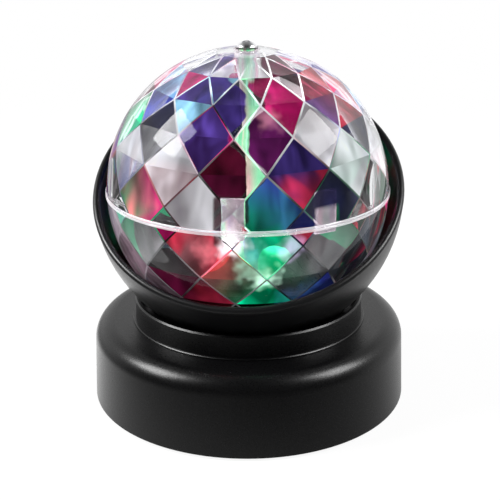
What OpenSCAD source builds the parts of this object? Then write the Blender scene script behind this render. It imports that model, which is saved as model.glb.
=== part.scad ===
// Light show projector: a clear faceted ball turns in a black cradle on a round battery base.
// The front is -Y, the origin is the middle of the underside, and lengths are millimetres.

/* [Ball] */
// Outer diameter of the clear ball
ball_d = 100; // [90:1:110]
// Wall of the ball at the facet corners
ball_wall = 2.2; // [1.6:0.1:3]
// Facets in one row around the ball
facet_columns = 13; // [9:1:18]
// Rows of facet corners from the joint line to the top
facet_rows = 6; // [4:1:8]
// Latitude of the last row of facet corners, in degrees
facet_top = 77; // [72:1:80]
// Height of the rib along the joint line, on each half
seam_h = 0.9; // [0.5:0.1:1.5]
// How far that rib stands proud of the ball
seam_proud = 0.4; // [0.2:0.1:0.8]
// Width of a joining clip
clip_w = 7.5; // [5:0.5:10]
// Height of a joining clip above the joint line
clip_h = 10; // [6:0.5:12]
// Thickness of a joining clip
clip_t = 1.6; // [1:0.1:2.5]
// Angle between the two clips of a pair, in degrees
clip_spread = 40; // [30:1:60]
// Diameter of the clear drive rod
rod_d = 5.4; // [4.6:0.1:7]
// Wall of the socket that holds the top of the rod
socket_wall = 0.85; // [0.6:0.05:1.5]
// Length of that socket
socket_l = 7.6; // [5:0.2:12]
// Space between the mouth of the ball and the lamp deck
mouth_gap = 5; // [3:0.5:7]

/* [Cradle] */
// Space between the ball and the cradle
ball_gap = 2.9; // [1.5:0.1:5]
// Wall of the cradle
cradle_wall = 2.4; // [1.8:0.1:3.5]
// Floor of the cradle
cradle_floor = 2.4; // [2.2:0.1:3.5]
// Slope of the rim towards the front, in degrees
rim_tilt = 32; // [15:1:40]
// Height of the rim above the middle of the ball, along its own axis
rim_rise = 2.1; // [0:0.1:6]
// How far the rolled rim stands proud of the wall
rim_proud = 0.15; // [0.1:0.05:0.6]
// Width of the cradle's flat underside outside the gear case
floor_margin = 6.2; // [5.6:0.1:9]

/* [Neck] */
// Height of the collar above the base
neck_h = 8.5; // [7:0.5:12]
// Wall of the collar at its lip
neck_wall = 1.5; // [1.2:0.1:3]
// Space between the lip and the cradle
neck_gap = 1.4; // [0.6:0.1:3]
// How much wider the collar is at its foot, in radius
neck_flare = 0; // [0:0.1:2]
// Depth of the collar's hollow waist
neck_waist = 0.2; // [0.2:0.1:1]
// Floor of the collar, which the cradle sits on
neck_floor = 2.6; // [2:0.1:4]
// Height of the bead around the collar's foot
plinth_h = 0.6; // [0.4:0.1:1.5]
// How far that bead stands proud
plinth_proud = 1; // [0.3:0.1:1.5]
// Chamfer of the lip, half of it on the bead
lip_chamfer = 0.5; // [0.2:0.1:0.8]

/* [Base] */
// Diameter of the base at its lower edge
base_d = 115; // [112:1:130]
// How much narrower the side is at the shoulder, in radius
base_draft = 0.9; // [0:0.1:2]
// Radius of the rounded shoulder
shoulder_r = 7; // [4:0.5:10]
// Wall of the base
base_wall = 2.2; // [1.8:0.1:3]
// Thickness of the bottom cover
cover_t = 3; // [2.8:0.1:4]
// Diameter of a rubber foot
foot_d = 10; // [8:0.5:12]
// Thickness of a rubber foot
foot_t = 2; // [1.6:0.1:2.6]
// How far the feet stand out below the base
foot_proud = 0.8; // [0.5:0.1:1.2]
// Distance of a foot's middle from the base's edge
foot_inset = 11.5; // [9:0.5:14]
// Distance of a screw boss's middle from the base's edge
boss_inset = 9; // [8:0.5:12]

/* [Drive] */
// Gear module
gear_module = 0.5; // [0.45:0.05:0.6]
// Teeth of a gear wheel
wheel_teeth = 40; // [36:1:44]
// Teeth of a pinion
pinion_teeth = 10; // [10:1:14]
// Pressure angle of the teeth, in degrees
pressure_angle = 25; // [22:1:27]
// Play between two meshing teeth
tooth_play = 0.12; // [0.08:0.01:0.2]
// Width of the teeth
gear_face = 2.6; // [2:0.1:4]
// Height between two rows of gears
gear_gap = 0.4; // [0.3:0.1:1]
// Space between the lowest gear and the cradle floor
gear_lift = 0.8; // [0.6:0.1:1.5]
// Space between the gears and the gear case
case_gap = 1; // [0.5:0.1:3]
// Wall of the gear case
case_wall = 1.6; // [1.2:0.1:2.5]
// Lid of the gear case
case_lid = 1.6; // [1.4:0.1:3]
// Diameter of the ball's steel spindle
spindle_d = 3; // [2.4:0.1:3.2]
// Diameter of an idler's steel axle
axle_d = 2; // [1.6:0.1:2.2]
// Outer diameter of the spindle's bush
bush_d = 6.4; // [5:0.1:8]
// Diameter of the motor
motor_d = 20; // [16:0.5:22]
// Length of the motor
motor_l = 11; // [9:0.5:20]
// Diameter of the motor's shaft
motor_shaft_d = 2; // [1.5:0.1:2.3]
// Space between the battery tray and the motor, which sets the height of the base
drive_gap = 1.1; // [0.6:0.1:10]

/* [Lamps] */
// Diameter of a lamp
led_d = 8; // [5:0.5:10]
// Height of a lamp above its board
led_l = 10.5; // [8:0.5:14]
// Distance of a lamp from the spindle
led_ring = 12.5; // [11:0.5:14]
// Thickness of the light board
board_t = 1.4; // [1:0.1:2]
// Thickness of the lamp deck
deck_t = 1.4; // [1.2:0.1:2.5]
// Wall of the lamp deck's skirt
deck_wall = 1.6; // [1.2:0.1:2.5]
// Depth of that skirt
deck_skirt = 2.6; // [1.5:0.1:5]

/* [Power] */
// Diameter of a cell
cell_d = 14.2; // [13.5:0.1:16]
// Length of a cell with its button
cell_l = 50; // [44:0.5:52]
// Wall of the battery tray
tray_wall = 1.5; // [1.2:0.1:2.5]
// Length of a pressed contact spring
spring_l = 4.2; // [3.4:0.1:6]
// Thickness of a contact plate
plate_t = 0.4; // [0.3:0.05:0.8]
// Thickness of the battery door
door_t = 1.8; // [1.6:0.1:2.4]
// Depth of the closed door in the bottom cover
door_recess = 0.6; // [0.4:0.1:1]

/* [Switch] */
// Travel of the switch
switch_travel = 4; // [2:0.5:6]
// Width of the switch's knob
knob_w = 4.6; // [3:0.2:6]
// Height of the switch's knob
knob_h = 3.4; // [2.4:0.2:5]
// How far the knob stands out of the floor of its pocket
knob_proud = 2.2; // [1.2:0.1:2.6]
// Depth of that pocket
pocket_depth = 3.4; // [3:0.1:5]
// Thickness of the pocket's floor
pocket_floor = 2.6; // [1.6:0.1:4]

/* [Fasteners] */
// Diameter of a case screw
screw_d = 2.9; // [2.4:0.1:3.2]
// Diameter of a case screw's head
head_d = 5.6; // [4.6:0.1:6]
// Height of a case screw's head
head_h = 2; // [1.4:0.1:2.2]
// Diameter of a small screw
small_d = 2; // [1.6:0.1:2.2]
// Diameter of a small screw's head
small_head_d = 4; // [3:0.1:4.4]
// Diameter of the screw on top of the ball
top_screw_d = 2.4; // [2:0.1:2.8]
// Diameter of that screw's head
top_head_d = 7; // [5:0.1:8]
// Height of that screw's head
top_head_h = 2.1; // [1.6:0.1:3]

/* [Clearances] */
// Around parts that slide or drop in
slide_gap = 0.3; // [0.2:0.05:0.5]
// Around turning shafts, in radius
run_fit = 0.06; // [0.03:0.01:0.1]
// Around pressed or threaded pins, in radius
snug_fit = 0.03; // [0.01:0.01:0.05]

/* [Hidden] */
$fn = 96;
// Finer rounding for the thin wall of the ball
ball_fn = 240;

// How far a cutting shape runs past the face that it cuts
over = 1;
// How far a cone runs past a face that it ends flush with, and by how much a drawn step is smaller
hair = 0.02;

// Battery tray, from the table upwards
cell_count = 3;
cell_play = 0.5;
cell_side = 0.3;
cell_button_l = 1.5;
cell_button_d = 5.5;
edge_z = foot_proud;
cover_top = edge_z + cover_t;
door_z = edge_z + door_recess;
door_top = door_z + door_t;
cell_z = door_top + cell_play + cell_d / 2;
tray_roof = cell_z + cell_d / 2 + cell_play;
tray_top = tray_roof + tray_wall;
cell_pitch = cell_d + cell_side;
tray_l = cell_l + spring_l + 2 * plate_t;
tray_w = cell_count * cell_pitch;

// Stack from the tray to the cradle
seat_z = tray_top + drive_gap + motor_l;
base_top = seat_z - neck_floor;
floor_z = seat_z + cradle_floor;

// Gear train: each mesh is one wheel and one pinion, so all axes lie one centre distance apart
tip_share = 0.8;
root_share = 1.05;
addendum = tip_share * gear_module;
dedendum = root_share * gear_module;
gear_centres = gear_module * (wheel_teeth + pinion_teeth) / 2;
wheel_tip = gear_module * wheel_teeth / 2 + addendum;
hub_room = gear_centres - wheel_tip;
hub_clear = 0.4;
hub_r = hub_room - hub_clear;
hub_drop = 0.2;
slow_angle = 150;
fast_angle = 210;
motor_angle = 270;
slow_at = gear_centres * [cos(slow_angle), sin(slow_angle), 0];
fast_at = gear_centres * [cos(fast_angle), sin(fast_angle), 0];
motor_at = gear_centres * [cos(motor_angle), sin(motor_angle), 0];
slow_turn = mate_turn(0, slow_angle);
fast_turn = mate_turn(slow_turn, bearing(slow_at, fast_at));
pinion_turn = mate_turn(fast_turn, bearing(fast_at, motor_at));

// Gear case and lamp deck
lid_clear = 0.6;
case_in_r = gear_centres + wheel_tip + case_gap;
case_r = case_in_r + case_wall;
case_roof = gear_z(2) + gear_face + lid_clear;
board_z = case_roof + case_lid;
deck_z = board_z + board_t;
deck_top = deck_z + deck_t;
deck_r = case_r + slide_gap + deck_wall;
bush_flange_t = 1;
bush_flange = 1.6;
axle_seat = 1.6;
axle_tip = 1;
spindle_seat = 1.5;
ear_h = 7;
ear_wall = 1.15;
ear_sink = 0.6;
ear_r = screw_d / 2 + ear_wall;
screw_ring = case_r + ear_r - ear_sink;
neck_screw_angles = [30, 150, 270];
deck_screw_inset = 5.5;
deck_screw_ring = case_r - deck_screw_inset;
deck_screw_angles = [30, 150, 270];
led_flange = 0.6;
led_flange_t = 1;
red_angle = 220;
green_angle = 320;
blue_angle = 90;

// Cradle, ball and neck
floor_r = case_r + floor_margin;
ball_r = ball_d / 2;
cradle_in = ball_r + ball_gap;
cradle_out = cradle_in + cradle_wall;
ball_z = seat_z + sqrt(cradle_out * cradle_out - floor_r * floor_r);
rim_bead_r = cradle_wall / 2 + rim_proud;
neck_lip = base_top + neck_h;
neck_in = slice_r(cradle_out, neck_lip) + neck_gap;
neck_r = neck_in + neck_wall;
motor_gap = 0.8;
neck_hole_r = gear_centres + motor_d / 2 + motor_gap;

// Facets inside the ball: rows of corners on a sphere, each turned half a facet from the last
facet_r = ball_r - ball_wall;
facet_pitch = 360 / facet_columns;
facet_step = facet_top / (facet_rows - 0.5);
facet_half_w = facet_r * sin(facet_pitch / 2);
facet_h = 2 * facet_r * sin(facet_step / 2);
facet_round = (facet_half_w * facet_half_w + facet_h * facet_h) / (2 * facet_h);
hollow_r = sqrt(facet_r * facet_r - facet_round * facet_round);
hollow_top = facet_r * sin(facet_top);
mouth_r = deck_r + mouth_gap;
mouth_depth = sqrt(hollow_r * hollow_r - mouth_r * mouth_r);
clip_gap = 0.4;
clip_foot = 4;
clip_corner = sqrt(hollow_r * hollow_r - clip_h * clip_h) - clip_gap;
clip_out = sqrt(clip_corner * clip_corner - clip_w * clip_w / 4);
pole_seat_h = 0.2;
pole_seat_rim = 0.4;
pole_seat_r = top_head_d / 2 + pole_seat_rim;
rod_foot = deck_top + bush_flange_t + slide_gap;
rod_top = ball_z + hollow_top;
rod_socket = 8;
flat_depth = 0.4;
top_seat_z = ball_z + ball_r + pole_seat_h;
top_screw_l = 12;
socket_flange = 0.8;
socket_flange_h = 1.5;

// Base, switch and fasteners
base_r = base_d / 2;
side_r = base_r - base_draft;
boss_ring = base_r - boss_inset;
boss_angles = [20, 160, 200, 340];
boss_wall = 1.75;
boss_r = screw_d / 2 + boss_wall;
foot_ring = base_r - foot_inset;
foot_angles = [45, 135, 225, 315];
cover_screw_l = 9;
head_sink = 0.2;
switch_z = (edge_z + base_top - shoulder_r) / 2;
pocket_y = base_r - pocket_depth;
pad_y = pocket_y - pocket_floor;
slot_l = knob_w + switch_travel + 2 * slide_gap;
slot_h = knob_h + 2 * slide_gap;
pocket_rim = 3.4;
switch_wall = 1.6;
switch_depth = 5.5;
switch_bite = 2;
ear_l = 4.2;
switch_ear_t = 1;
switch_screw_l = 3;
switch_screw_x = slot_l / 2 + switch_wall + ear_l / 2;
pad_w = slot_l + 2 * switch_wall + 2 * ear_l;
pad_h = slot_h + 2 * pocket_rim;
hinge_y = -tray_w / 2 + slide_gap + door_t / 2;
hinge_z = door_z + door_t / 2;
hinge_pin_r = 0.8;
hinge_pin_l = 1.8;
door_l = tray_l - 2 * slide_gap;
motor_boss_d = 6;
motor_boss_h = 1.6;
motor_screw_inset = 3;
motor_screw_x = motor_d / 2 - motor_screw_inset;
motor_screw_l = 5;
countersink = 1.2;
pinion_top = gear_z(0) + gear_face;

// Sideways place of one cell
function cell_y(i) = (i - (cell_count - 1) / 2) * cell_pitch;

// Height of the foot of one row of gears
function gear_z(row) = floor_z + gear_lift + row * (gear_face + gear_gap);

// Radius at height z of a sphere about the middle of the ball
function slice_r(r, z) = sqrt(r * r - (z - ball_z) * (z - ball_z));

// Direction from one axis to another, in degrees
function bearing(from, to) = atan2(to.y - from.y, to.x - from.x);

// Turn of a pinion that meshes with a wheel, seen in a direction from the wheel's axis
function mate_turn(wheel_turn, direction) =
    direction + 180 + 180 / pinion_teeth - (wheel_turn - direction) * wheel_teeth / pinion_teeth;

// Involute function of an angle in degrees, given in degrees
function involute(angle) = tan(angle) * 180 / PI - angle;

function polar(r, angle) = [r * cos(angle), r * sin(angle)];

// Corner of the facet pattern: longitude 0 is the front, even rows are turned half a pitch
function facet_corner(row, column) =
    let (lat = (row - 0.5) * facet_step)
    let (lon = (column + (row % 2 == 0 ? 0.5 : 0)) * facet_pitch)
    facet_r * [cos(lat) * sin(lon), -cos(lat) * cos(lon), sin(lat)];

function facet_index(row, column) = row * facet_columns + column % facet_columns;

// Least distance between points of a path that lie at least some steps apart along it
function least_distance(path, apart) = min([
    for (i = [0:len(path) - 1 - apart])
        for (j = [i + apart:len(path) - 1])
            norm(path[i] - path[j])
]);

module place_ring(radius, angles) {
    for (angle = angles) {
        rotate(angle) translate([radius, 0, 0]) children();
    }
}

// Outline of a spur gear, its first tooth centred on the X axis
module gear_outline(teeth) {
    pitch_r = gear_module * teeth / 2;
    foot_circle = pitch_r * cos(pressure_angle);
    root_r = pitch_r - dedendum;
    start_r = max(foot_circle, root_r);
    tip_r = pitch_r + addendum;
    steps = 3;
    half = 90 / teeth - tooth_play / 4 / pitch_r * 180 / PI + involute(pressure_angle);
    radii = [for (i = [0:steps]) start_r + (tip_r - start_r) * i / steps];
    turns = [for (r = radii) half - involute(acos(foot_circle / r))];
    root = root_r < start_r ? [root_r] : [];
    polygon([
        for (i = [0:teeth - 1])
            let (middle = 360 * i / teeth)
            each [
                for (r = root) polar(r, middle - turns[0]),
                for (k = [0:steps]) polar(radii[k], middle - turns[k]),
                for (k = [steps:-1:0]) polar(radii[k], middle + turns[k]),
                for (r = root) polar(r, middle + turns[0])
            ]
    ]);
}

module gear(teeth, height) {
    linear_extrude(height) gear_outline(teeth);
}

// Wheel with a pinion above it and a hub below, bored for its axle
module idler(row) {
    difference() {
        union() {
            translate([0, 0, gear_z(row)]) gear(wheel_teeth, gear_face);
            translate([0, 0, gear_z(row)]) gear(pinion_teeth, 2 * gear_face + gear_gap);
            translate([0, 0, gear_z(0) - hub_drop])
                cylinder(r = hub_r, h = gear_z(row) - gear_z(0) + hub_drop + gear_face / 2);
        }
        translate([0, 0, floor_z]) cylinder(d = axle_d + 2 * run_fit, h = case_roof - floor_z);
    }
}

// Pan-head screw: its head stands on z = 0 and its shank points down
module pan_screw(d, l, wide, high) {
    translate([0, 0, -l]) cylinder(d = d, h = l);
    cylinder(d = wide, h = high);
}

// Long round-ended outline
module stadium(l, h) {
    square([l - h, h], center = true);
    for (side = [-1, 1]) {
        translate([side * (l - h) / 2, 0]) circle(d = h);
    }
}

// Half section of the drum: a drafted side, a round shoulder and a flat top
module drum_section(foot_r, top_r, z, top_z, round_r) {
    polygon([
        [0, z],
        [foot_r, z],
        [top_r, top_z - round_r],
        [top_r - round_r, top_z],
        [0, top_z]
    ]);
    translate([top_r - round_r, top_z - round_r]) circle(r = round_r);
}

module drum() {
    rotate_extrude() drum_section(base_r, side_r, edge_z, base_top, shoulder_r);
}

module drum_hollow() {
    rotate_extrude() drum_section(
        base_r - base_wall, side_r - base_wall, edge_z - over, base_top - base_wall, shoulder_r - base_wall
    );
}

// Flat through the back wall of the base, at the switch
module at_switch(y) {
    translate([0, y, switch_z]) rotate([90, 0, 0]) children();
}

module base_shell() {
    color([0.03, 0.03, 0.035])
    difference() {
        union() {
            difference() {
                drum();
                drum_hollow();
            }
            intersection() {
                drum();
                union() {
                    place_ring(boss_ring, boss_angles)
                        translate([0, 0, cover_top])
                            cylinder(r = boss_r, h = base_top - base_wall / 2 - cover_top);
                    translate([-pad_w / 2, pad_y, switch_z - pad_h / 2])
                        cube([pad_w, base_r - pad_y, pad_h]);
                }
            }
        }
        translate([0, 0, base_top - base_wall - over]) cylinder(r = neck_hole_r, h = base_wall + 2 * over);
        place_ring(screw_ring, neck_screw_angles)
            translate([0, 0, base_top - base_wall - over])
                cylinder(d = screw_d + 2 * slide_gap, h = base_wall + 2 * over);
        place_ring(boss_ring, boss_angles)
            translate([0, 0, cover_top - over])
                cylinder(d = screw_d + 2 * snug_fit, h = cover_screw_l + over);
        at_switch(base_r + over) linear_extrude(pocket_depth + over)
            stadium(slot_l + 2 * pocket_rim, slot_h + pocket_rim);
        at_switch(base_r) linear_extrude(pocket_depth + pocket_floor + over)
            square([slot_l, slot_h], center = true);
        for (side = [-1, 1]) {
            at_switch(pad_y + switch_screw_l - switch_ear_t) translate([side * switch_screw_x, 0, 0])
                cylinder(d = small_d + 2 * snug_fit, h = switch_screw_l);
        }
    }
}

module neck_collar() {
    foot = [neck_r + neck_flare, base_top + plinth_h];
    lip = [neck_r, neck_lip - lip_chamfer];
    chord = norm(lip - foot);
    along = (lip - foot) / chord;
    outward = [along.y, -along.x];
    waist_r = (chord * chord / 4 + neck_waist * neck_waist) / (2 * neck_waist);
    bead_chamfer = min(lip_chamfer / 2, plinth_h / 2, plinth_proud / 2);
    color([0.03, 0.03, 0.035])
    difference() {
        rotate_extrude() {
            difference() {
                polygon([
                    [neck_hole_r, base_top],
                    [foot.x, base_top],
                    foot,
                    lip,
                    [neck_r - lip_chamfer, neck_lip],
                    [neck_in, neck_lip],
                    [neck_in, seat_z],
                    [neck_hole_r, seat_z]
                ]);
                translate((foot + lip) / 2 + outward * (waist_r - neck_waist)) circle(r = waist_r);
            }
            polygon([
                [neck_hole_r, base_top],
                [foot.x + plinth_proud, base_top],
                [foot.x + plinth_proud, foot.y - bead_chamfer],
                [foot.x + plinth_proud - bead_chamfer, foot.y],
                [neck_hole_r, foot.y]
            ]);
        }
        place_ring(screw_ring, neck_screw_angles)
            translate([0, 0, base_top - over])
                cylinder(d = screw_d + 2 * slide_gap, h = neck_floor + 2 * over);
    }
}

// Wall of the cradle about the sloping axis of its rim, with a rolled edge
module cradle_wall_section() {
    edge = rim_rise - rim_bead_r;
    intersection() {
        difference() {
            circle(r = cradle_out);
            circle(r = cradle_in);
        }
        translate([0, -cradle_out - over]) square([cradle_out + over, cradle_out + over + edge]);
    }
    translate([(cradle_in + cradle_out) / 2, edge]) circle(r = rim_bead_r);
}

module cradle_bowl() {
    disc_r = (floor_r + slice_r(cradle_in, floor_z)) / 2;
    color([0.02, 0.02, 0.024])
    difference() {
        union() {
            difference() {
                translate([0, 0, ball_z]) rotate([rim_tilt, 0, 0]) rotate_extrude() cradle_wall_section();
                translate([0, 0, seat_z - cradle_out]) cylinder(r = cradle_out, h = cradle_out);
            }
            translate([0, 0, seat_z]) cylinder(r = disc_r, h = cradle_floor);
        }
        place_ring(screw_ring, neck_screw_angles)
            translate([0, 0, seat_z - over])
                cylinder(d = screw_d + 2 * slide_gap, h = cradle_floor + 2 * over);
        translate([0, 0, floor_z - spindle_seat])
            cylinder(d = spindle_d + 2 * run_fit, h = spindle_seat + over);
        for (at = [slow_at, fast_at]) {
            translate(at + [0, 0, floor_z - axle_seat])
                cylinder(d = axle_d + 2 * snug_fit, h = axle_seat + over);
        }
        translate(motor_at + [0, 0, seat_z - over])
            cylinder(d = motor_boss_d + 2 * snug_fit, h = cradle_floor + 2 * over);
        for (side = [-1, 1]) {
            translate(motor_at + [side * motor_screw_x, 0, 0]) {
                translate([0, 0, seat_z - over])
                    cylinder(d = small_d + 2 * slide_gap, h = cradle_floor + 2 * over);
                translate([0, 0, floor_z - countersink])
                    cylinder(d1 = small_d, d2 = small_head_d + 2 * snug_fit, h = countersink + hair);
            }
        }
    }
}

module bottom_cover() {
    color([0.04, 0.04, 0.045])
    difference() {
        union() {
            difference() {
                union() {
                    translate([0, 0, edge_z]) cylinder(r = base_r - base_wall - slide_gap, h = cover_t);
                    translate([-tray_l / 2 - tray_wall, -tray_w / 2 - tray_wall, edge_z])
                        cube([tray_l + 2 * tray_wall, tray_w + 2 * tray_wall, tray_top - edge_z]);
                }
                translate([-tray_l / 2, -tray_w / 2, edge_z - over])
                    cube([tray_l, tray_w, tray_roof - edge_z + over]);
            }
            door_stops();
        }
        place_ring(foot_ring, foot_angles)
            translate([0, 0, edge_z - over])
                cylinder(d = foot_d + 2 * snug_fit, h = foot_t - foot_proud + over);
        place_ring(boss_ring, boss_angles) {
            translate([0, 0, edge_z - over]) cylinder(d = screw_d + 2 * slide_gap, h = cover_t + 2 * over);
            translate([0, 0, edge_z - over])
                cylinder(d = head_d + 2 * slide_gap, h = head_h + head_sink + over);
        }
        translate([-tray_l / 2 - hinge_pin_l - slide_gap, hinge_y, hinge_z]) rotate([0, 90, 0])
            cylinder(r = hinge_pin_r + run_fit, h = tray_l + 2 * hinge_pin_l + 2 * slide_gap);
        thumb_notch();
    }
}

// Ribs on the back wall of the tray that the closed door rests against
module door_stops() {
    stop_w = 6;
    stop_d = 1.2;
    stop_h = 1.5;
    door_rest = 0.1;
    for (side = [-1, 1]) {
        translate([side * tray_l / 4 - stop_w / 2, tray_w / 2 - stop_d, door_top + door_rest])
            cube([stop_w, stop_d + tray_wall / 2, stop_h]);
    }
}

// Round hollow that lets a thumb reach the edge of the door
module thumb_notch() {
    notch_r = 7;
    notch_depth = 1.2;
    translate([0, tray_w / 2, edge_z - over]) cylinder(r = notch_r, h = notch_depth + over);
}

module battery_door() {
    grip_w = 14;
    grip_h = 0.8;
    grip_depth = 0.4;
    grip_step = 2.2;
    color([0.04, 0.04, 0.045])
    difference() {
        union() {
            translate([-door_l / 2, hinge_y, hinge_z]) rotate([90, 0, 90]) linear_extrude(door_l) {
                circle(d = door_t);
                translate([0, -door_t / 2]) square([tray_w / 2 - slide_gap - hinge_y, door_t]);
            }
            translate([-door_l / 2 - slide_gap - hinge_pin_l, hinge_y, hinge_z]) rotate([0, 90, 0])
                cylinder(r = hinge_pin_r, h = door_l + 2 * slide_gap + 2 * hinge_pin_l);
        }
        for (i = [1:3]) {
            translate([-grip_w / 2, tray_w / 2 - i * grip_step - grip_h, door_z - over])
                cube([grip_w, grip_h, grip_depth + over]);
        }
    }
}

module rubber_feet() {
    color([0.08, 0.08, 0.08])
    place_ring(foot_ring, foot_angles) cylinder(d = foot_d, h = foot_t);
}

module cover_screws() {
    color("silver")
    place_ring(boss_ring, boss_angles)
        translate([0, 0, edge_z + head_sink + head_h]) mirror([0, 0, 1])
            pan_screw(screw_d, cover_screw_l, head_d, head_h);
}

module neck_screws() {
    bite = 6;
    color("silver")
    place_ring(screw_ring, neck_screw_angles)
        translate([0, 0, base_top - base_wall]) mirror([0, 0, 1])
            pan_screw(screw_d, base_wall + neck_floor + cradle_floor + bite, head_d, head_h);
}

module gear_case() {
    ear_roof = 0.5;
    color([0.05, 0.05, 0.055])
    difference() {
        union() {
            translate([0, 0, floor_z]) cylinder(r = case_r, h = board_z - floor_z);
            place_ring(screw_ring, neck_screw_angles)
                translate([0, 0, floor_z]) cylinder(r = ear_r, h = ear_h);
        }
        translate([0, 0, floor_z - over]) cylinder(r = case_in_r, h = case_roof - floor_z + over);
        place_ring(screw_ring, neck_screw_angles)
            translate([0, 0, floor_z - over])
                cylinder(d = screw_d + 2 * snug_fit, h = ear_h - ear_roof + over);
        translate([0, 0, case_roof - over]) cylinder(d = bush_d + 2 * snug_fit, h = case_lid + 2 * over);
        for (at = [slow_at, fast_at]) {
            translate(at + [0, 0, case_roof - over])
                cylinder(d = axle_d + 2 * snug_fit, h = axle_tip + over);
        }
        place_ring(deck_screw_ring, deck_screw_angles)
            translate([0, 0, case_roof - over])
                cylinder(d = small_d + 2 * snug_fit, h = case_lid + 2 * over);
    }
}

module lamp_deck() {
    bevel = 0.6;
    color([0.75, 0.75, 0.78])
    difference() {
        rotate_extrude() polygon([
            [bush_d / 2 + snug_fit, deck_z],
            [case_r + slide_gap, deck_z],
            [case_r + slide_gap, deck_z - deck_skirt],
            [deck_r, deck_z - deck_skirt],
            [deck_r, deck_top - bevel],
            [deck_r - bevel, deck_top],
            [bush_d / 2 + snug_fit, deck_top]
        ]);
        place_ring(led_ring, [red_angle, green_angle, blue_angle])
            translate([0, 0, deck_z - over])
                cylinder(d = led_d + 2 * led_flange + 2 * slide_gap, h = deck_t + 2 * over);
        place_ring(deck_screw_ring, deck_screw_angles)
            translate([0, 0, deck_z - over]) cylinder(d = small_d + 2 * slide_gap, h = deck_t + 2 * over);
    }
}

module deck_screws() {
    tip = 0.4;
    high = 1.3;
    color("silver")
    place_ring(deck_screw_ring, deck_screw_angles)
        translate([0, 0, deck_top]) pan_screw(small_d, deck_top - case_roof + tip, small_head_d, high);
}

module led_board() {
    color([0.1, 0.35, 0.2])
    difference() {
        translate([0, 0, board_z]) cylinder(r = case_r, h = board_t);
        translate([0, 0, board_z - over]) cylinder(d = bush_d + 2 * slide_gap, h = board_t + 2 * over);
        place_ring(deck_screw_ring, deck_screw_angles)
            translate([0, 0, board_z - over]) cylinder(d = small_d + 2 * slide_gap, h = board_t + 2 * over);
    }
}

// Round lamp with a foot flange and a domed lens
module led(angle) {
    lens_r = led_d / 2;
    side = led_l - lens_r;
    place_ring(led_ring, [angle]) translate([0, 0, deck_z]) rotate_extrude() {
        intersection() {
            translate([0, side]) circle(r = lens_r);
            translate([0, side]) square([lens_r, lens_r]);
        }
        square([lens_r, side]);
        square([lens_r + led_flange, led_flange_t]);
    }
}

module red_led() {
    color([0.95, 0.1, 0.1]) led(red_angle);
}

module green_led() {
    color([0.1, 0.9, 0.2]) led(green_angle);
}

module blue_led() {
    color([0.1, 0.2, 0.95]) led(blue_angle);
}

module shaft_bush() {
    color([0.8, 0.62, 0.3])
    difference() {
        union() {
            translate([0, 0, case_roof]) cylinder(d = bush_d, h = deck_top - case_roof);
            translate([0, 0, deck_top]) cylinder(d = bush_d + 2 * bush_flange, h = bush_flange_t);
        }
        translate([0, 0, case_roof - over])
            cylinder(d = spindle_d + 2 * run_fit, h = rod_foot - case_roof + 2 * over);
    }
}

module idler_axles() {
    color("silver")
    for (at = [slow_at, fast_at]) {
        translate(at + [0, 0, floor_z - axle_seat])
            cylinder(d = axle_d, h = case_roof + axle_tip - floor_z + axle_seat);
    }
}

module drive_motor() {
    tail_d = 7;
    tail_h = 0.8;
    color([0.7, 0.7, 0.72])
    difference() {
        union() {
            translate(motor_at + [0, 0, seat_z - motor_l]) cylinder(d = motor_d, h = motor_l);
            translate(motor_at + [0, 0, seat_z - over]) cylinder(d = motor_boss_d, h = motor_boss_h + over);
            translate(motor_at + [0, 0, seat_z - motor_l - tail_h]) cylinder(d = tail_d, h = tail_h + over);
        }
        translate(motor_at + [0, 0, seat_z - motor_l / 2])
            cylinder(d = motor_shaft_d + 2 * run_fit, h = motor_l);
        for (side = [-1, 1]) {
            translate(motor_at + [side * motor_screw_x, 0, floor_z - motor_screw_l - over])
                cylinder(d = small_d + 2 * snug_fit, h = motor_screw_l);
        }
    }
}

module motor_screws() {
    color("silver")
    for (side = [-1, 1]) {
        translate(motor_at + [side * motor_screw_x, 0, 0]) {
            translate([0, 0, floor_z - motor_screw_l])
                cylinder(d = small_d, h = motor_screw_l - countersink / 2);
            translate([0, 0, floor_z - countersink])
                cylinder(d1 = small_d - 2 * snug_fit, d2 = small_head_d - 2 * snug_fit, h = countersink);
        }
    }
}

// One place for each cell, every other one turned end for end
module at_cells() {
    for (i = [0:cell_count - 1]) {
        translate([0, cell_y(i), cell_z]) rotate(i % 2 == 0 ? 0 : 180) children();
    }
}

module aa_cells() {
    button_x = tray_l / 2 - plate_t;
    color([0.75, 0.6, 0.25])
    at_cells() rotate([0, 90, 0]) {
        translate([0, 0, button_x - cell_l]) cylinder(d = cell_d, h = cell_l - cell_button_l);
        translate([0, 0, button_x - cell_l]) cylinder(d = cell_button_d, h = cell_l);
    }
}

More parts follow.
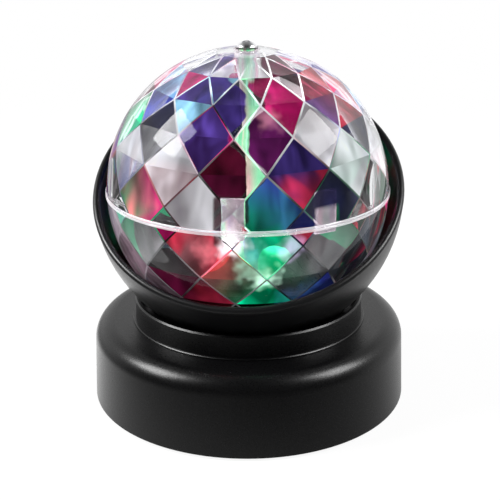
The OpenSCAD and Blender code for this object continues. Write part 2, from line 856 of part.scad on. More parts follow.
// Cone-shaped coil swept from rings of wire, from the contact plate to the cell
module cell_springs() {
    wire_r = 0.35;
    wide_r = 4.2;
    narrow_r = 2.6;
    coils = 3;
    coil_rings = 12;
    sides = 6;
    rings = coils * coil_rings;
    rest_gap = 0.03;
    rise = spring_l - 2 * (wire_r + rest_gap);
    radii = [for (k = [0:rings]) wide_r + (narrow_r - wide_r) * k / rings];
    turns = [for (k = [0:rings]) 360 * k / coil_rings];
    heights = [for (k = [0:rings]) rise * k / rings];
    middles = [for (k = [0:rings]) [each polar(radii[k], turns[k]), heights[k]]];
    points = [
        for (k = [0:rings])
            for (s = [0:sides - 1])
                let (wire = polar(wire_r, 360 * s / sides))
                [each polar(radii[k] + wire.x, turns[k]), heights[k] + wire.y]
    ];
    walls = [
        for (k = [0:rings - 1])
            for (s = [0:sides - 1])
                let (a = k * sides + s)
                let (b = k * sides + (s + 1) % sides)
                each [[a, b, a + sides], [b, b + sides, a + sides]]
    ];
    start_cap = [[for (s = [sides - 1:-1:0]) s]];
    end_cap = [[for (s = [0:sides - 1]) rings * sides + s]];
    echo(gap_between_coils = least_distance(middles, coil_rings / 2) - 2 * wire_r);
    color("silver")
    at_cells() translate([-tray_l / 2 + plate_t + wire_r + rest_gap, 0, 0]) rotate([0, 90, 0])
        polyhedron(points, concat(walls, start_cap, end_cap));
}

// Two single plates and two that link neighbouring cells
module contact_plates() {
    wide = 9;
    high = 9;
    // End of the tray, first cell and last cell of each plate
    ends = [
        [-1, 0, 1],
        [-1, 2, 2],
        [1, 0, 0],
        [1, 1, 2]
    ];
    color("silver")
    for (end = ends) {
        from_y = cell_y(end[1]) - wide / 2;
        long = (end[2] - end[1]) * cell_pitch + wide;
        end_x = end[0] * (tray_l / 2 - plate_t / 2) - plate_t / 2;
        translate([end_x, from_y, cell_z - high / 2]) cube([plate_t, long, high]);
    }
}

module switch_body() {
    body_l = slot_l + 2 * switch_wall;
    body_h = slot_h + 2 * switch_wall;
    color([0.6, 0.6, 0.62])
    difference() {
        union() {
            at_switch(pad_y) linear_extrude(switch_depth) square([body_l, body_h], center = true);
            at_switch(pad_y) linear_extrude(switch_ear_t) square([pad_w, body_h], center = true);
        }
        at_switch(pad_y + over) linear_extrude(switch_bite + over) square([slot_l, slot_h], center = true);
        for (side = [-1, 1]) {
            at_switch(pad_y + over) translate([side * switch_screw_x, 0, 0])
                cylinder(d = small_d + 2 * slide_gap, h = switch_ear_t + 2 * over);
        }
    }
}

module switch_screws() {
    high = 1.2;
    color("silver")
    for (side = [-1, 1]) {
        at_switch(pad_y - switch_ear_t) translate([side * switch_screw_x, 0, 0])
            pan_screw(small_d, switch_screw_l - slide_gap, small_head_d, high);
    }
}

// Knob in the on position, at the end of its travel
module switch_knob() {
    ridge_w = 0.5;
    ridge_depth = 0.5;
    on_x = switch_travel / 2;
    tip_y = pocket_y + knob_proud;
    color([0.05, 0.05, 0.055])
    difference() {
        at_switch(tip_y) translate([on_x, 0, 0])
            linear_extrude(tip_y - pad_y + switch_bite - slide_gap) square([knob_w, knob_h], center = true);
        for (side = [-1, 0, 1]) {
            at_switch(tip_y + over) translate([on_x + side * 3 * ridge_w, 0, 0])
                linear_extrude(ridge_depth + over) square([ridge_w, knob_h + over], center = true);
        }
    }
}

// Hollow of one half of the ball: bands of flat triangles between rows of corners
module facet_hollow() {
    points = [
        for (row = [0:facet_rows])
            for (column = [0:facet_columns - 1])
                facet_corner(row, column)
    ];
    bands = [
        for (row = [0:facet_rows - 1])
            for (column = [0:facet_columns - 1])
                let (left = facet_index(row, column))
                let (right = facet_index(row, column + 1))
                let (above = row % 2 == 0 ? column + 1 : column)
                let (peak = facet_index(row + 1, above))
                let (next_peak = facet_index(row + 1, above + 1))
                each [[left, peak, right], [right, peak, next_peak]]
    ];
    bottom = [[for (column = [0:facet_columns - 1]) column]];
    top = [[for (column = [facet_columns - 1:-1:0]) facet_index(facet_rows, column)]];
    polyhedron(points, concat(bands, bottom, top));
}

// Half of the ball above the joint line, with the rib along it
module half_shell() {
    difference() {
        union() {
            intersection() {
                sphere(r = ball_r, $fn = ball_fn);
                cylinder(r = ball_r + over, h = ball_r + over);
            }
            cylinder(r = ball_r + seam_proud, h = seam_h);
        }
        facet_hollow();
    }
}

module ball_upper_shell() {
    socket_r = rod_d / 2 + snug_fit + socket_wall;
    roof = over;
    color([0.85, 0.88, 0.95, 0.4])
    translate([0, 0, ball_z])
    difference() {
        union() {
            half_shell();
            translate([0, 0, hollow_top]) cylinder(r = pole_seat_r, h = ball_r + pole_seat_h - hollow_top);
            translate([0, 0, hollow_top - socket_l]) cylinder(r = socket_r, h = socket_l + roof);
            translate([0, 0, hollow_top - socket_flange_h])
                cylinder(r = socket_r + socket_flange, h = socket_flange_h + roof);
        }
        translate([0, 0, hollow_top - socket_l - over])
            cylinder(d = rod_d + 2 * snug_fit, h = socket_l + over);
        translate([0, 0, hollow_top - over])
            cylinder(d = top_screw_d + 2 * slide_gap, h = ball_r + pole_seat_h - hollow_top + 2 * over);
    }
}

// Clips that stand up inside the upper half, on feet that run into the wall of the lower half
module joining_clips() {
    for (angle = [0, clip_spread, 180, 180 + clip_spread]) {
        rotate(angle - 90) {
            translate([clip_out - clip_t, -clip_w / 2, -clip_foot])
                cube([clip_t, clip_w, clip_foot + clip_h]);
            translate([clip_out - clip_t, -clip_w / 2, -clip_foot])
                cube([facet_r - clip_out + clip_t, clip_w, clip_foot - slide_gap]);
        }
    }
}

module ball_lower_shell() {
    color([0.85, 0.88, 0.95, 0.4])
    translate([0, 0, ball_z]) {
        difference() {
            mirror([0, 0, 1]) half_shell();
            translate([0, 0, -mouth_depth - ball_r]) cylinder(r = ball_r, h = ball_r);
        }
        joining_clips();
    }
}

module top_screw() {
    dome_r = 4.2;
    cross_l = 3.8;
    cross_w = 0.8;
    cross_depth = 1.2;
    cross_turn = 45;
    color([0.85, 0.85, 0.87])
    translate([0, 0, top_seat_z])
    difference() {
        union() {
            intersection() {
                cylinder(d = top_head_d, h = top_head_h);
                translate([0, 0, top_head_h - dome_r]) sphere(r = dome_r);
            }
            translate([0, 0, -top_screw_l]) cylinder(d = top_screw_d, h = top_screw_l + top_head_h / 4);
        }
        for (turn = [cross_turn, cross_turn + 90]) {
            rotate(turn) translate([-cross_l / 2, -cross_w / 2, top_head_h - cross_depth])
                cube([cross_l, cross_w, cross_depth + over]);
        }
    }
}

// Round pin with a flat along one side
module flatted(d, l) {
    difference() {
        cylinder(d = d, h = l);
        translate([d / 2 - flat_depth, -d, -over]) cube([d, 2 * d, l + 2 * over]);
    }
}

module drive_rod() {
    pilot_l = top_screw_l - (top_seat_z - rod_top) + over;
    color([0.9, 0.92, 0.95, 0.5])
    difference() {
        translate([0, 0, rod_foot]) cylinder(d = rod_d, h = rod_top - rod_foot);
        translate([0, 0, rod_foot - over]) flatted(spindle_d + 2 * snug_fit, rod_socket + slide_gap + over);
        translate([0, 0, rod_top - pilot_l]) cylinder(d = top_screw_d + 2 * snug_fit, h = pilot_l + over);
    }
}

module ball_spindle() {
    foot_gap = 0.1;
    foot = floor_z - spindle_seat + foot_gap;
    color("silver") {
        translate([0, 0, foot]) cylinder(d = spindle_d, h = rod_foot - foot);
        translate([0, 0, rod_foot - over]) flatted(spindle_d - hair, rod_socket + over);
    }
}

module output_gear() {
    hub_d = 6;
    color([0.92, 0.92, 0.9])
    difference() {
        union() {
            translate([0, 0, gear_z(2)]) gear(wheel_teeth, gear_face);
            translate([0, 0, gear_z(2)]) cylinder(d = hub_d, h = gear_face + lid_clear - slide_gap);
        }
        translate([0, 0, gear_z(2) - over])
            cylinder(d = spindle_d + 2 * snug_fit, h = gear_face + lid_clear + 2 * over);
    }
}

module slow_idler() {
    color([0.92, 0.92, 0.9]) translate(slow_at) rotate(slow_turn) idler(1);
}

module fast_idler() {
    color([0.92, 0.92, 0.9]) translate(fast_at) rotate(fast_turn) idler(0);
}

module motor_pinion() {
    color([0.8, 0.62, 0.3])
    translate(motor_at) rotate(pinion_turn)
    difference() {
        translate([0, 0, gear_z(0)]) gear(pinion_teeth, gear_face);
        translate([0, 0, gear_z(0) - over])
            cylinder(d = motor_shaft_d + 2 * snug_fit, h = gear_face + 2 * over);
    }
}

module motor_shaft() {
    foot_gap = 0.1;
    color("silver")
    translate(motor_at + [0, 0, seat_z - motor_l / 2 + foot_gap])
        cylinder(d = motor_shaft_d, h = pinion_top - seat_z + motor_l / 2 - foot_gap);
}

base_shell();
neck_collar();
cradle_bowl();
bottom_cover();
rubber_feet();
cover_screws();
neck_screws();
gear_case();
lamp_deck();
deck_screws();
led_board();
red_led();
green_led();
blue_led();
shaft_bush();
idler_axles();
drive_motor();
motor_screws();
aa_cells();
cell_springs();
contact_plates();
switch_body();
switch_screws();
ball_upper_shell();
ball_lower_shell();
top_screw();
drive_rod();
ball_spindle();
output_gear();
slow_idler();
fast_idler();
motor_pinion();
motor_shaft();
switch_knob();
battery_door();
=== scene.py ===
"""Light show projector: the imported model, dressed and set before the camera.

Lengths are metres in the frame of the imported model: +Z is up and the front looks towards -Y.
Colours are linear, and the angles in fields and tables are degrees.
"""

import logging
import math
import random
from collections.abc import Iterator, Sequence
from contextlib import contextmanager
from dataclasses import dataclass, replace
from enum import Enum
from functools import cache
from typing import Protocol

import bpy
from mathutils import Matrix, Vector


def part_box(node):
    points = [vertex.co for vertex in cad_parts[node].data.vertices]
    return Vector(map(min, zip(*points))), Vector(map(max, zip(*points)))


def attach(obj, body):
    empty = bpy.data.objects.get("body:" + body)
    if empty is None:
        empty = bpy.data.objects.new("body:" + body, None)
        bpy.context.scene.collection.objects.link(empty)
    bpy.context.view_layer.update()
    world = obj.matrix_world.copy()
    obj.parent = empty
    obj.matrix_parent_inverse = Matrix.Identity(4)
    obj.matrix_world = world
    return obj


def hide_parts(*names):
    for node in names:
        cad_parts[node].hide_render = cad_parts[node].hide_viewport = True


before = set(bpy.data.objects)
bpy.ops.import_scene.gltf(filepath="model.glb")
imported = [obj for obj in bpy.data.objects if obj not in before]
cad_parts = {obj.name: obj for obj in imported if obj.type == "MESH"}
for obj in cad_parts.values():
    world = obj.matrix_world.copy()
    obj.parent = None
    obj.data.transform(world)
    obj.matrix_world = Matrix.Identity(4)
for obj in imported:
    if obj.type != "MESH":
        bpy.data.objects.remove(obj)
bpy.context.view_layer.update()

LOG = logging.getLogger("light_show_projector")
MM = 0.001
Colour = tuple[float, float, float]
Point = tuple[float, float, float]
Span = tuple[float, float]
Ease = tuple[float, float, float, float]
Pools = tuple[tuple[Point, Colour], ...]
Marks = Sequence[tuple[float, float, Colour]]
Outline = Sequence[tuple[float, float]]
Socket = bpy.types.NodeSocket

WHITE: Colour = (1.0, 1.0, 1.0)
BLACK: Colour = (0.0, 0.0, 0.0)
PLASTIC_IOR = 1.49
MOST_NOISE: Span = (0.3, 0.7)
DRAWN_OUT: Point = (1.0, 1.0, 0.45)
SAME_PLACE = 0.001 * MM
EDGE_SEGMENTS = 2
UPWARD = 0.99
LEAST_PULL = 1e-9


class Finish(Protocol):
    """Anything that makes a named material."""

    name: str

    def make(self) -> bpy.types.Material:
        """Returns the finished material."""


@cache
def material_of(finish: Finish) -> bpy.types.Material:
    """Makes a finish once, however many pieces wear it."""
    return finish.make()


@dataclass(frozen=True)
class Hue:
    """Painted light of a facet: the glow it sends out, the tint of that light it lets through and how cloudy
    it turns.
    """

    glow: Colour
    tint: Colour
    cloud: float = 0.06


class Light(Enum):
    """Lights painted on the facets of the ball."""

    RED = Hue((0.62, 0.03, 0.07), (0.4, 0.05, 0.07))
    # WINE, NAVY and PLUM are dark: mostly painted shade, with a little coloured light.
    WINE = Hue((0.085, 0.004, 0.026), (0.06, 0.006, 0.025))
    GREEN = Hue((0.0, 0.33, 0.14), (0.02, 0.3, 0.15))
    BLUE = Hue((0.035, 0.05, 0.34), (0.02, 0.03, 0.22))
    NAVY = Hue((0.012, 0.012, 0.045), (0.025, 0.025, 0.06))
    VIOLET = Hue((0.07, 0.04, 0.25), (0.05, 0.03, 0.16))
    PLUM = Hue((0.1, 0.008, 0.085), (0.07, 0.012, 0.06))
    MAGENTA = Hue((0.66, 0.01, 0.17), (0.4, 0.02, 0.14))
    CYAN = Hue((0.3, 0.6, 0.82), (0.4, 0.8, 1.0), 0.3)
    # ROOM is a painted reflection of the pale room, on milky facets.
    ROOM = Hue((0.6, 0.6, 0.62), (0.9, 0.9, 0.93), 0.7)


class Side(Enum):
    """Half of the ball, by the sign of its height."""

    UPPER = 1
    LOWER = -1


class Join(Enum):
    """How a tool meets a solid."""

    ADD = "UNION"
    CUT = "DIFFERENCE"


# Shading


class Nodes:
    """Node tree, with short calls for what materials and the world share."""

    def __init__(self, tree: bpy.types.NodeTree) -> None:
        """Takes the tree to add to."""
        self.tree = tree

    def add(self, kind: str, **settings: object) -> bpy.types.Node:
        """Adds a node.

        Args:
            kind: Type name of the node.
            settings: Properties of the node.

        Returns:
            The new node.
        """
        node = self.tree.nodes.new(kind)
        for key, value in settings.items():
            setattr(node, key, value)
        return node

    def feed(self, target: Socket, value: object) -> None:
        """Links an input to a socket, or sets it to a constant.

        Args:
            target: The input.
            value: Socket, number, vector or colour.
        """
        if isinstance(value, Socket):
            self.tree.links.new(value, target)
        elif target.type == "RGBA":
            target.default_value = (*value, 1.0)
        else:
            target.default_value = value

    def output(self, kind: str, name: str, inputs: dict[str | int, object], **settings: object) -> Socket:
        """Adds a node, feeds it and takes one of its outputs.

        Args:
            kind: Type name of the node.
            name: Name of the output.
            inputs: What each input gets, by its name or number.
            settings: Properties of the node.

        Returns:
            The output.
        """
        node = self.add(kind, **settings)
        for key, value in inputs.items():
            self.feed(node.inputs[key], value)
        return node.outputs[name]

    def axis(self, place: Socket, name: str) -> Socket:
        """One coordinate of a place, X, Y or Z."""
        return self.output("ShaderNodeSeparateXYZ", name, {"Vector": place})

    def ramp(
        self, source: Socket, start: float, end: float, low: float, high: float, kind: str = "SMOOTHSTEP"
    ) -> Socket:
        """Takes a value from the level low at start to high at end, eased unless the kind is LINEAR."""
        inputs = {"Value": source, "From Min": start, "From Max": end, "To Min": low, "To Max": high}
        return self.output("ShaderNodeMapRange", "Result", inputs, interpolation_type=kind)

    def math(self, operation: str, first: Socket, *others: Socket | float) -> Socket:
        """Joins numbers one after another, or changes one.

        Args:
            operation: Name of the sum.
            first: First number.
            others: The numbers that follow, if any.

        Returns:
            The result.
        """
        for other in others or (0.0,):
            first = self.output("ShaderNodeMath", "Value", {0: first, 1: other}, operation=operation)
        return first


class Shader(Nodes):
    """Node tree of one material."""

    def __init__(self, name: str) -> None:
        """Starts a material with a principled shader.

        Args:
            name: Name of the material.
        """
        self.material = bpy.data.materials.new(name)
        self.material.use_nodes = True
        super().__init__(self.material.node_tree)
        self.bsdf = self.tree.nodes["Principled BSDF"]
        self.place = self.add("ShaderNodeTexCoord").outputs["Object"]

    def set(self, **values: object) -> None:
        """Feeds sockets of the principled shader, with _ for a space in their names."""
        for key, value in values.items():
            self.feed(self.bsdf.inputs[key.replace("_", " ")], value)

    def attribute(self, name: str, kind: str) -> Socket:
        """Attribute of the mesh, as a Color or a Fac."""
        return self.output("ShaderNodeAttribute", kind, {}, attribute_name=name)

    def noise(self, size: float, detail: float = 2.0, kind: str = "Fac") -> Socket:
        """Cloudy noise over the piece, from 0 to 1, as one number (Fac) or three (Color)."""
        inputs = {"Vector": self.place, "Scale": 1.0 / size, "Detail": detail}
        return self.output("ShaderNodeTexNoise", kind, inputs)

    def own_noise(self, size: float, draw: Socket, swirl: float) -> Socket:
        """Swirling noise, drawn out upright, that differs from facet to facet.

        Args:
            size: Size of a cloud.
            draw: Number of the facet.
            swirl: How far the clouds are stirred.

        Returns:
            The noise, from 0 to 1.
        """
        drawn_out = self.output("ShaderNodeMapping", "Vector", {"Vector": self.place, "Scale": DRAWN_OUT})
        inputs = {"Vector": drawn_out, "W": draw, "Scale": 1.0 / size, "Detail": 1.0, "Distortion": swirl}
        return self.output("ShaderNodeTexNoise", "Fac", inputs, noise_dimensions="4D")

    def spread(self, source: Socket, low: float, high: float) -> Socket:
        """Stretches the range where most noise lies over the range from low to high."""
        return self.ramp(source, *MOST_NOISE, low, high, "LINEAR")

    def mix(self, factor: Socket, first: Socket | Colour, second: Socket | Colour) -> Socket:
        """Blends two colours, with a factor of 0 for the first and 1 for the second."""
        inputs = {"Factor": factor, "A": first, "B": second}
        return self.output("ShaderNodeMix", "Result", inputs, data_type="RGBA")

    def bump(self, height: Socket, depth: float) -> None:
        """Raises the surface by a height map from 0 to 1, to a relief of some depth."""
        self.set(Normal=self.output("ShaderNodeBump", "Normal", {"Distance": depth, "Height": height}))

    def vector(self, operation: str, *terms: Socket | Point, kind: str = "Vector") -> Socket:
        """Joins vectors or colours, into a Vector or, where the result is a number, a Value."""
        return self.output("ShaderNodeVectorMath", kind, dict(enumerate(terms)), operation=operation)

    def scaled(self, colour: Socket | Colour, factor: Socket) -> Socket:
        """Multiplies a colour by a number."""
        return self.output("ShaderNodeVectorMath", "Vector", {0: colour, "Scale": factor}, operation="SCALE")

    def near(self, spot: Point, start: float, end: float, place: Socket | None = None) -> Socket:
        """Nearness of a place to a spot: 1 up to the distance start and 0 from the distance end."""
        distance = self.vector("DISTANCE", place or self.place, spot, kind="Value")
        return self.ramp(distance, start, end, 1.0, 0.0)

    def stirred(self, size: float, throw: float) -> Socket:
        """Place on the piece, thrown about by noise, which makes round pools ragged.

        Args:
            size: Size of the noise.
            throw: How far a place is thrown at most, along each axis.

        Returns:
            The thrown place.
        """
        noise = self.noise(size, 1.0, "Color")
        thrown = self.vector("MULTIPLY_ADD", noise, (2 * throw,) * 3, (-throw,) * 3)
        return self.vector("ADD", self.place, thrown)

    def pools(self, total: Socket | None, spots: Pools, reach: float, place: Socket | None = None) -> Socket:
        """Adds soft pools of light to a colour.

        Args:
            total: The colour to add to, if any.
            spots: Where each pool is and its colour.
            reach: How far a pool reaches.
            place: Place to measure from, if it isn't the place on the piece.

        Returns:
            The colour with the pools.
        """
        for spot, colour in spots:
            pool = self.scaled(colour, self.near(spot, 0.0, reach, place))
            total = pool if total is None else self.vector("ADD", total, pool)
        return total


@dataclass(frozen=True)
class Moulded:
    """Opaque moulded or painted surface: cloudy colour, uneven gloss and a fine grain."""

    name: str
    colour: Colour
    gloss: Span
    grain: float = 0.4 * MM
    relief: float = 0.01 * MM
    cloud: float = 14 * MM
    shift: float = 0.25
    metal: float = 0.0
    sheen: float = 0.5

    def make(self) -> bpy.types.Material:
        """Returns the finished material."""
        shader = Shader(self.name)
        lighter = tuple(min(1.0, c * (1 + self.shift)) for c in self.colour)
        darker = tuple(c * (1 - self.shift) for c in self.colour)
        grain = shader.noise(self.grain)
        shader.bump(grain, self.relief)
        shader.set(
            Base_Color=shader.mix(shader.noise(self.cloud), darker, lighter),
            Roughness=shader.spread(grain, *self.gloss),
            Metallic=self.metal,
            Specular_IOR_Level=self.sheen,
        )
        return shader.material


@dataclass(frozen=True)
class LampLens:
    """Coloured lamp lens with a white-hot heart."""

    name: str
    light: Colour
    heart: Point
    reach: float
    strength: float
    whole: float = 0.35
    rim_strength: float = 1.8
    cloud: float = 3 * MM
    paleness: float = 0.35

    def make(self) -> bpy.types.Material:
        """Returns the finished material."""
        shader = Shader(self.name)
        hot = shader.near(self.heart, self.whole * self.reach, self.reach)
        pale = tuple(self.paleness + (1 - self.paleness) * c for c in self.light)
        shader.set(
            Emission_Color=shader.mix(hot, self.light, WHITE),
            Emission_Strength=shader.ramp(hot, 0.0, 1.0, self.rim_strength, self.strength),
            Base_Color=shader.mix(shader.noise(self.cloud), self.light, pale),
            Roughness=0.2,
        )
        return shader.material


@dataclass(frozen=True)
class ClearPlastic:
    """Clear moulding with faint flow marks, and a painted haze of light where lamps shine into its wall."""

    name: str
    tint: Colour
    rough: Span
    painted_hazes: Pools = ()
    haze_reach: float = 24 * MM
    streaks: Span = (0.5, 1.3)
    flow: float = 9 * MM
    paler: float = 1.02

    def make(self) -> bpy.types.Material:
        """Returns the finished material."""
        shader = Shader(self.name)
        flow = shader.noise(self.flow)
        shader.set(
            Base_Color=shader.mix(flow, self.tint, tuple(min(1.0, c * self.paler) for c in self.tint)),
            Roughness=shader.spread(flow, *self.rough),
            Transmission_Weight=1.0,
            IOR=PLASTIC_IOR,
            Specular_Tint=(0.2, 0.2, 0.2),
        )
        if self.painted_hazes:
            # Painted haze of light, streaked by the flow marks.
            haze = shader.pools(None, self.painted_hazes, self.haze_reach)
            streaks = shader.spread(flow, *self.streaks)
            shader.set(Emission_Color=shader.scaled(haze, streaks), Emission_Strength=1.0)
        return shader.material


@dataclass(frozen=True)
class Strip:
    """Upright strip on the near side of the ball, as seen from an angle around it.

    It may sway to the right and left from one row of facets to the next, and narrow between, as what they
    refract does.
    """

    seen_from: float
    half: float
    low: float
    high: float
    sway: float = 0.0
    narrowing: float = 0.0
    side_blur: Span = (0.8, 1.2)
    end_blur: float = 1 * MM
    depth_blur: float = 2 * MM

    def inside(self, shader: Shader, wave: Socket) -> Socket:
        """Where the strip is.

        Args:
            shader: Material to add to.
            wave: From -1 to 1 and back over two rows of facets.

        Returns:
            1 in the strip and 0 outside it.
        """
        turn = math.radians(self.seen_from)
        rightward = (math.cos(turn), math.sin(turn), 0.0)
        backward = (-math.sin(turn), math.cos(turn), 0.0)
        across, depth = (
            shader.vector("DOT_PRODUCT", shader.place, way, kind="Value") for way in (rightward, backward)
        )
        height = shader.axis(shader.place, "Z")
        middle = shader.math("MULTIPLY", wave, self.sway)
        offset = shader.math("ABSOLUTE", shader.math("SUBTRACT", across, middle))
        bend = shader.math("MULTIPLY", wave, wave)
        half = shader.ramp(bend, 0.0, 1.0, self.half - self.narrowing, self.half)
        return shader.math(
            "MULTIPLY",
            shader.ramp(shader.math("DIVIDE", offset, half), *self.side_blur, 1.0, 0.0),
            shader.ramp(depth, -self.depth_blur, 0.0, 1.0, 0.0),
            shader.ramp(height, self.low - self.end_blur, self.low + self.end_blur, 0.0, 1.0),
            shader.ramp(height, self.high - self.end_blur, self.high + self.end_blur, 1.0, 0.0),
        )


@dataclass(frozen=True)
class FacetPane:
    """Facet that carries the painted light written on its corners.

    It is clear in the strips where two clips, the rod and the rod's socket show.
    """

    name: str
    bursts: Pools
    centre_z: float
    radius: float
    row_step: float
    patch: float = 15 * MM
    patch_edge: Span = (0.52, 0.68)
    swirl: float = 1.2
    unevenness: Span = (0.3, 1.5)
    milkiness: Span = (0.8, 1.1)
    ripple: float = 8 * MM
    ripple_depth: float = 0.04 * MM
    burst_reach: float = 6.5 * MM
    burst_grain: float = 4 * MM
    burst_throw: float = 4.5 * MM
    first_bend: float = 1.5
    veil_left: float = 0.12
    clear: Colour = (0.85, 0.9, 0.88)
    slits: tuple[Strip, ...] = (
        Strip(-1.5, 4.6 * MM, 72 * MM, 88 * MM),
        Strip(38.5, 4.2 * MM, 76 * MM, 82.5 * MM),
        Strip(6.1, 3 * MM, 80 * MM, 121 * MM, 2.75 * MM, 1.7 * MM),
        Strip(6.1, 4 * MM, 119.5 * MM, 130 * MM),
    )

    def wave(self, shader: Shader) -> Socket:
        """Swing of what the facets refract.

        Args:
            shader: Material to add to.

        Returns:
            From -1 to 1 and back over two rows of facets.
        """
        height = shader.math("SUBTRACT", shader.axis(shader.place, "Z"), self.centre_z)
        latitude = shader.math("ARCSINE", shader.math("DIVIDE", height, self.radius))
        rows = shader.math("DIVIDE", latitude, math.radians(self.row_step))
        past_bend = shader.math("SUBTRACT", rows, self.first_bend)
        return shader.math("COSINE", shader.math("MULTIPLY", past_bend, math.pi))

    def make(self) -> bpy.types.Material:
        """Returns the finished material."""
        shader = Shader(self.name)
        # Painted light on the corners: glow, spark and the tint of that light.
        glow, spark, tint = (shader.attribute(name, "Color") for name in ("glow", "spark", "tint"))
        cloud, draw = (shader.attribute(name, "Fac") for name in ("cloud", "draw"))
        patches = shader.own_noise(self.patch, draw, self.swirl)
        light = shader.mix(shader.ramp(patches, *self.patch_edge, 0.0, 1.0), glow, spark)
        uneven = shader.spread(shader.own_noise(self.patch / 2, draw, self.swirl / 2), *self.unevenness)
        wave = self.wave(shader)
        slit = shader.math("MAXIMUM", *(strip.inside(shader, wave) for strip in self.slits))
        veil = shader.ramp(slit, 0.0, 1.0, 1.0, self.veil_left)
        lit = shader.scaled(shader.scaled(light, uneven), veil)
        # Painted bursts of light, with ragged edges.
        ragged = shader.stirred(self.burst_grain, self.burst_throw)
        milky = shader.math("MULTIPLY", cloud, shader.spread(patches, *self.milkiness), veil)
        shader.bump(shader.noise(self.ripple, 0.0), self.ripple_depth)
        shader.set(
            Emission_Color=shader.pools(lit, self.bursts, self.burst_reach, ragged),
            Emission_Strength=1.0,
            Base_Color=shader.mix(slit, tint, self.clear),
            Transmission_Weight=shader.ramp(milky, 0.0, 1.0, 1.0, 0.0),
            Roughness=0.02,
            IOR=PLASTIC_IOR,
            Specular_Tint=(0.3, 0.3, 0.3),
        )
        return shader.material


@dataclass(frozen=True)
class BrightEdge:
    """Rounded edge of clear plastic with a painted white highlight here and there, most of all high up."""

    name: str
    strength: float
    low: float
    high: float
    low_share: float = 0.15
    patch: float = 16 * MM
    patch_edge: Span = (0.38, 0.66)

    def make(self) -> bpy.types.Material:
        """Returns the finished material."""
        shader = Shader(self.name)
        patches = shader.noise(self.patch, 1.0)
        caught = shader.ramp(patches, *self.patch_edge, 0.0, self.strength)
        lift = shader.ramp(shader.axis(shader.place, "Z"), self.low, self.high, self.low_share, 1.0)
        shader.set(
            Emission_Color=(0.95, 0.97, 1.0),
            Emission_Strength=shader.math("MULTIPLY", caught, lift),
            Base_Color=shader.mix(patches, (0.9, 0.92, 0.96), WHITE),
            Transmission_Weight=1.0,
            IOR=PLASTIC_IOR,
            Roughness=0.05,
        )
        return shader.material


@dataclass(frozen=True)
class FrostedRib:
    """Milky clear plastic with a little painted glow in it."""

    name: str
    milk: float
    light: Colour
    flow: float = 4 * MM
    rough: Span = (0.12, 0.3)

    def make(self) -> bpy.types.Material:
        """Returns the finished material."""
        shader = Shader(self.name)
        flow = shader.noise(self.flow)
        shader.set(
            Base_Color=shader.mix(flow, (0.85, 0.84, 0.87), (0.98, 0.97, 1.0)),
            Roughness=shader.spread(flow, *self.rough),
            Transmission_Weight=1.0 - self.milk,
            IOR=PLASTIC_IOR,
            Emission_Color=shader.mix(flow, BLACK, self.light),
            Emission_Strength=1.0,
        )
        return shader.material


@dataclass(frozen=True)
class LitRod:
    """Clear rod with painted green light along one side and pink along the other, less towards its top."""

    name: str
    width: float
    strength: float
    fade_from: float
    fade_to: float
    faded: float = 0.2
    sides: Span = (-0.5, 0.125)
    streak: float = 5 * MM
    dimmest: float = 0.4
    left: Colour = (0.75, 0.16, 0.32)
    right: Colour = (0.22, 0.72, 0.4)

    def make(self) -> bpy.types.Material:
        """Returns the finished material."""
        shader = Shader(self.name)
        start, end = (share * self.width for share in self.sides)
        side = shader.ramp(shader.axis(shader.place, "X"), start, end, 0.0, 1.0)
        streaks = shader.spread(shader.noise(self.streak), self.dimmest * self.strength, self.strength)
        fade = shader.ramp(shader.axis(shader.place, "Z"), self.fade_from, self.fade_to, 1.0, self.faded)
        shader.set(
            Emission_Color=shader.mix(side, self.left, self.right),
            Emission_Strength=shader.math("MULTIPLY", streaks, fade),
            Base_Color=(0.5, 0.85, 0.66),
            Transmission_Weight=1.0,
            IOR=PLASTIC_IOR,
            Roughness=0.08,
        )
        return shader.material


@dataclass(frozen=True)
class LitDeck:
    """Dark deck with a pool of light around each lamp."""

    name: str
    spots: Pools
    reach: float
    strength: float
    grain: float = 0.5 * MM
    rough: Span = (0.25, 0.4)

    def make(self) -> bpy.types.Material:
        """Returns the finished material."""
        shader = Shader(self.name)
        grain = shader.noise(self.grain)
        shader.set(
            Emission_Color=shader.pools(None, self.spots, self.reach),
            Emission_Strength=self.strength,
            Base_Color=shader.mix(grain, (0.04, 0.04, 0.045), (0.06, 0.06, 0.065)),
            Roughness=shader.spread(grain, *self.rough),
        )
        return shader.material


@dataclass(frozen=True)
class CellJacket:
    """Plain dry cells: a charcoal sleeve with a copper band, and bare steel ends."""

    name: str
    middle: float
    sleeve: float
    band: float
    edge: float = 0.05 * MM
    wear: float = 6 * MM
    rough: Span = (0.22, 0.36)
    sleeve_metal: float = 0.1

    def make(self) -> bpy.types.Material:
        """Returns the finished material."""
        shader = Shader(self.name)
        along = shader.math("ABSOLUTE", shader.math("SUBTRACT", shader.axis(shader.place, "X"), self.middle))
        wear = shader.noise(self.wear)
        colour = shader.mix(wear, (0.02, 0.02, 0.022), (0.035, 0.035, 0.04))
        copper = shader.mix(wear, (0.5, 0.2, 0.07), (0.62, 0.27, 0.1))
        steel = shader.mix(wear, (0.55, 0.55, 0.57), (0.66, 0.66, 0.68))
        for start, layer in ((self.band, copper), (self.sleeve, steel)):
            colour = shader.mix(shader.ramp(along, start, start + self.edge, 0.0, 1.0), colour, layer)
        shader.set(
            Base_Color=colour,
            Metallic=shader.ramp(along, self.band, self.band + self.edge, self.sleeve_metal, 1.0),
            Roughness=shader.spread(wear, *self.rough),
        )
        return shader.material


# Modelling


def deselect() -> None:
    """Leaves edit mode and deselects everything."""
    if bpy.context.object and bpy.context.object.mode != "OBJECT":
        bpy.ops.object.mode_set(mode="OBJECT")
    bpy.ops.object.select_all(action="DESELECT")


def activate(piece: bpy.types.Object) -> None:
    """Selects one piece alone and makes it the active one.

    Args:
        piece: The piece.
    """
    deselect()
    piece.select_set(True)
    bpy.context.view_layer.objects.active = piece


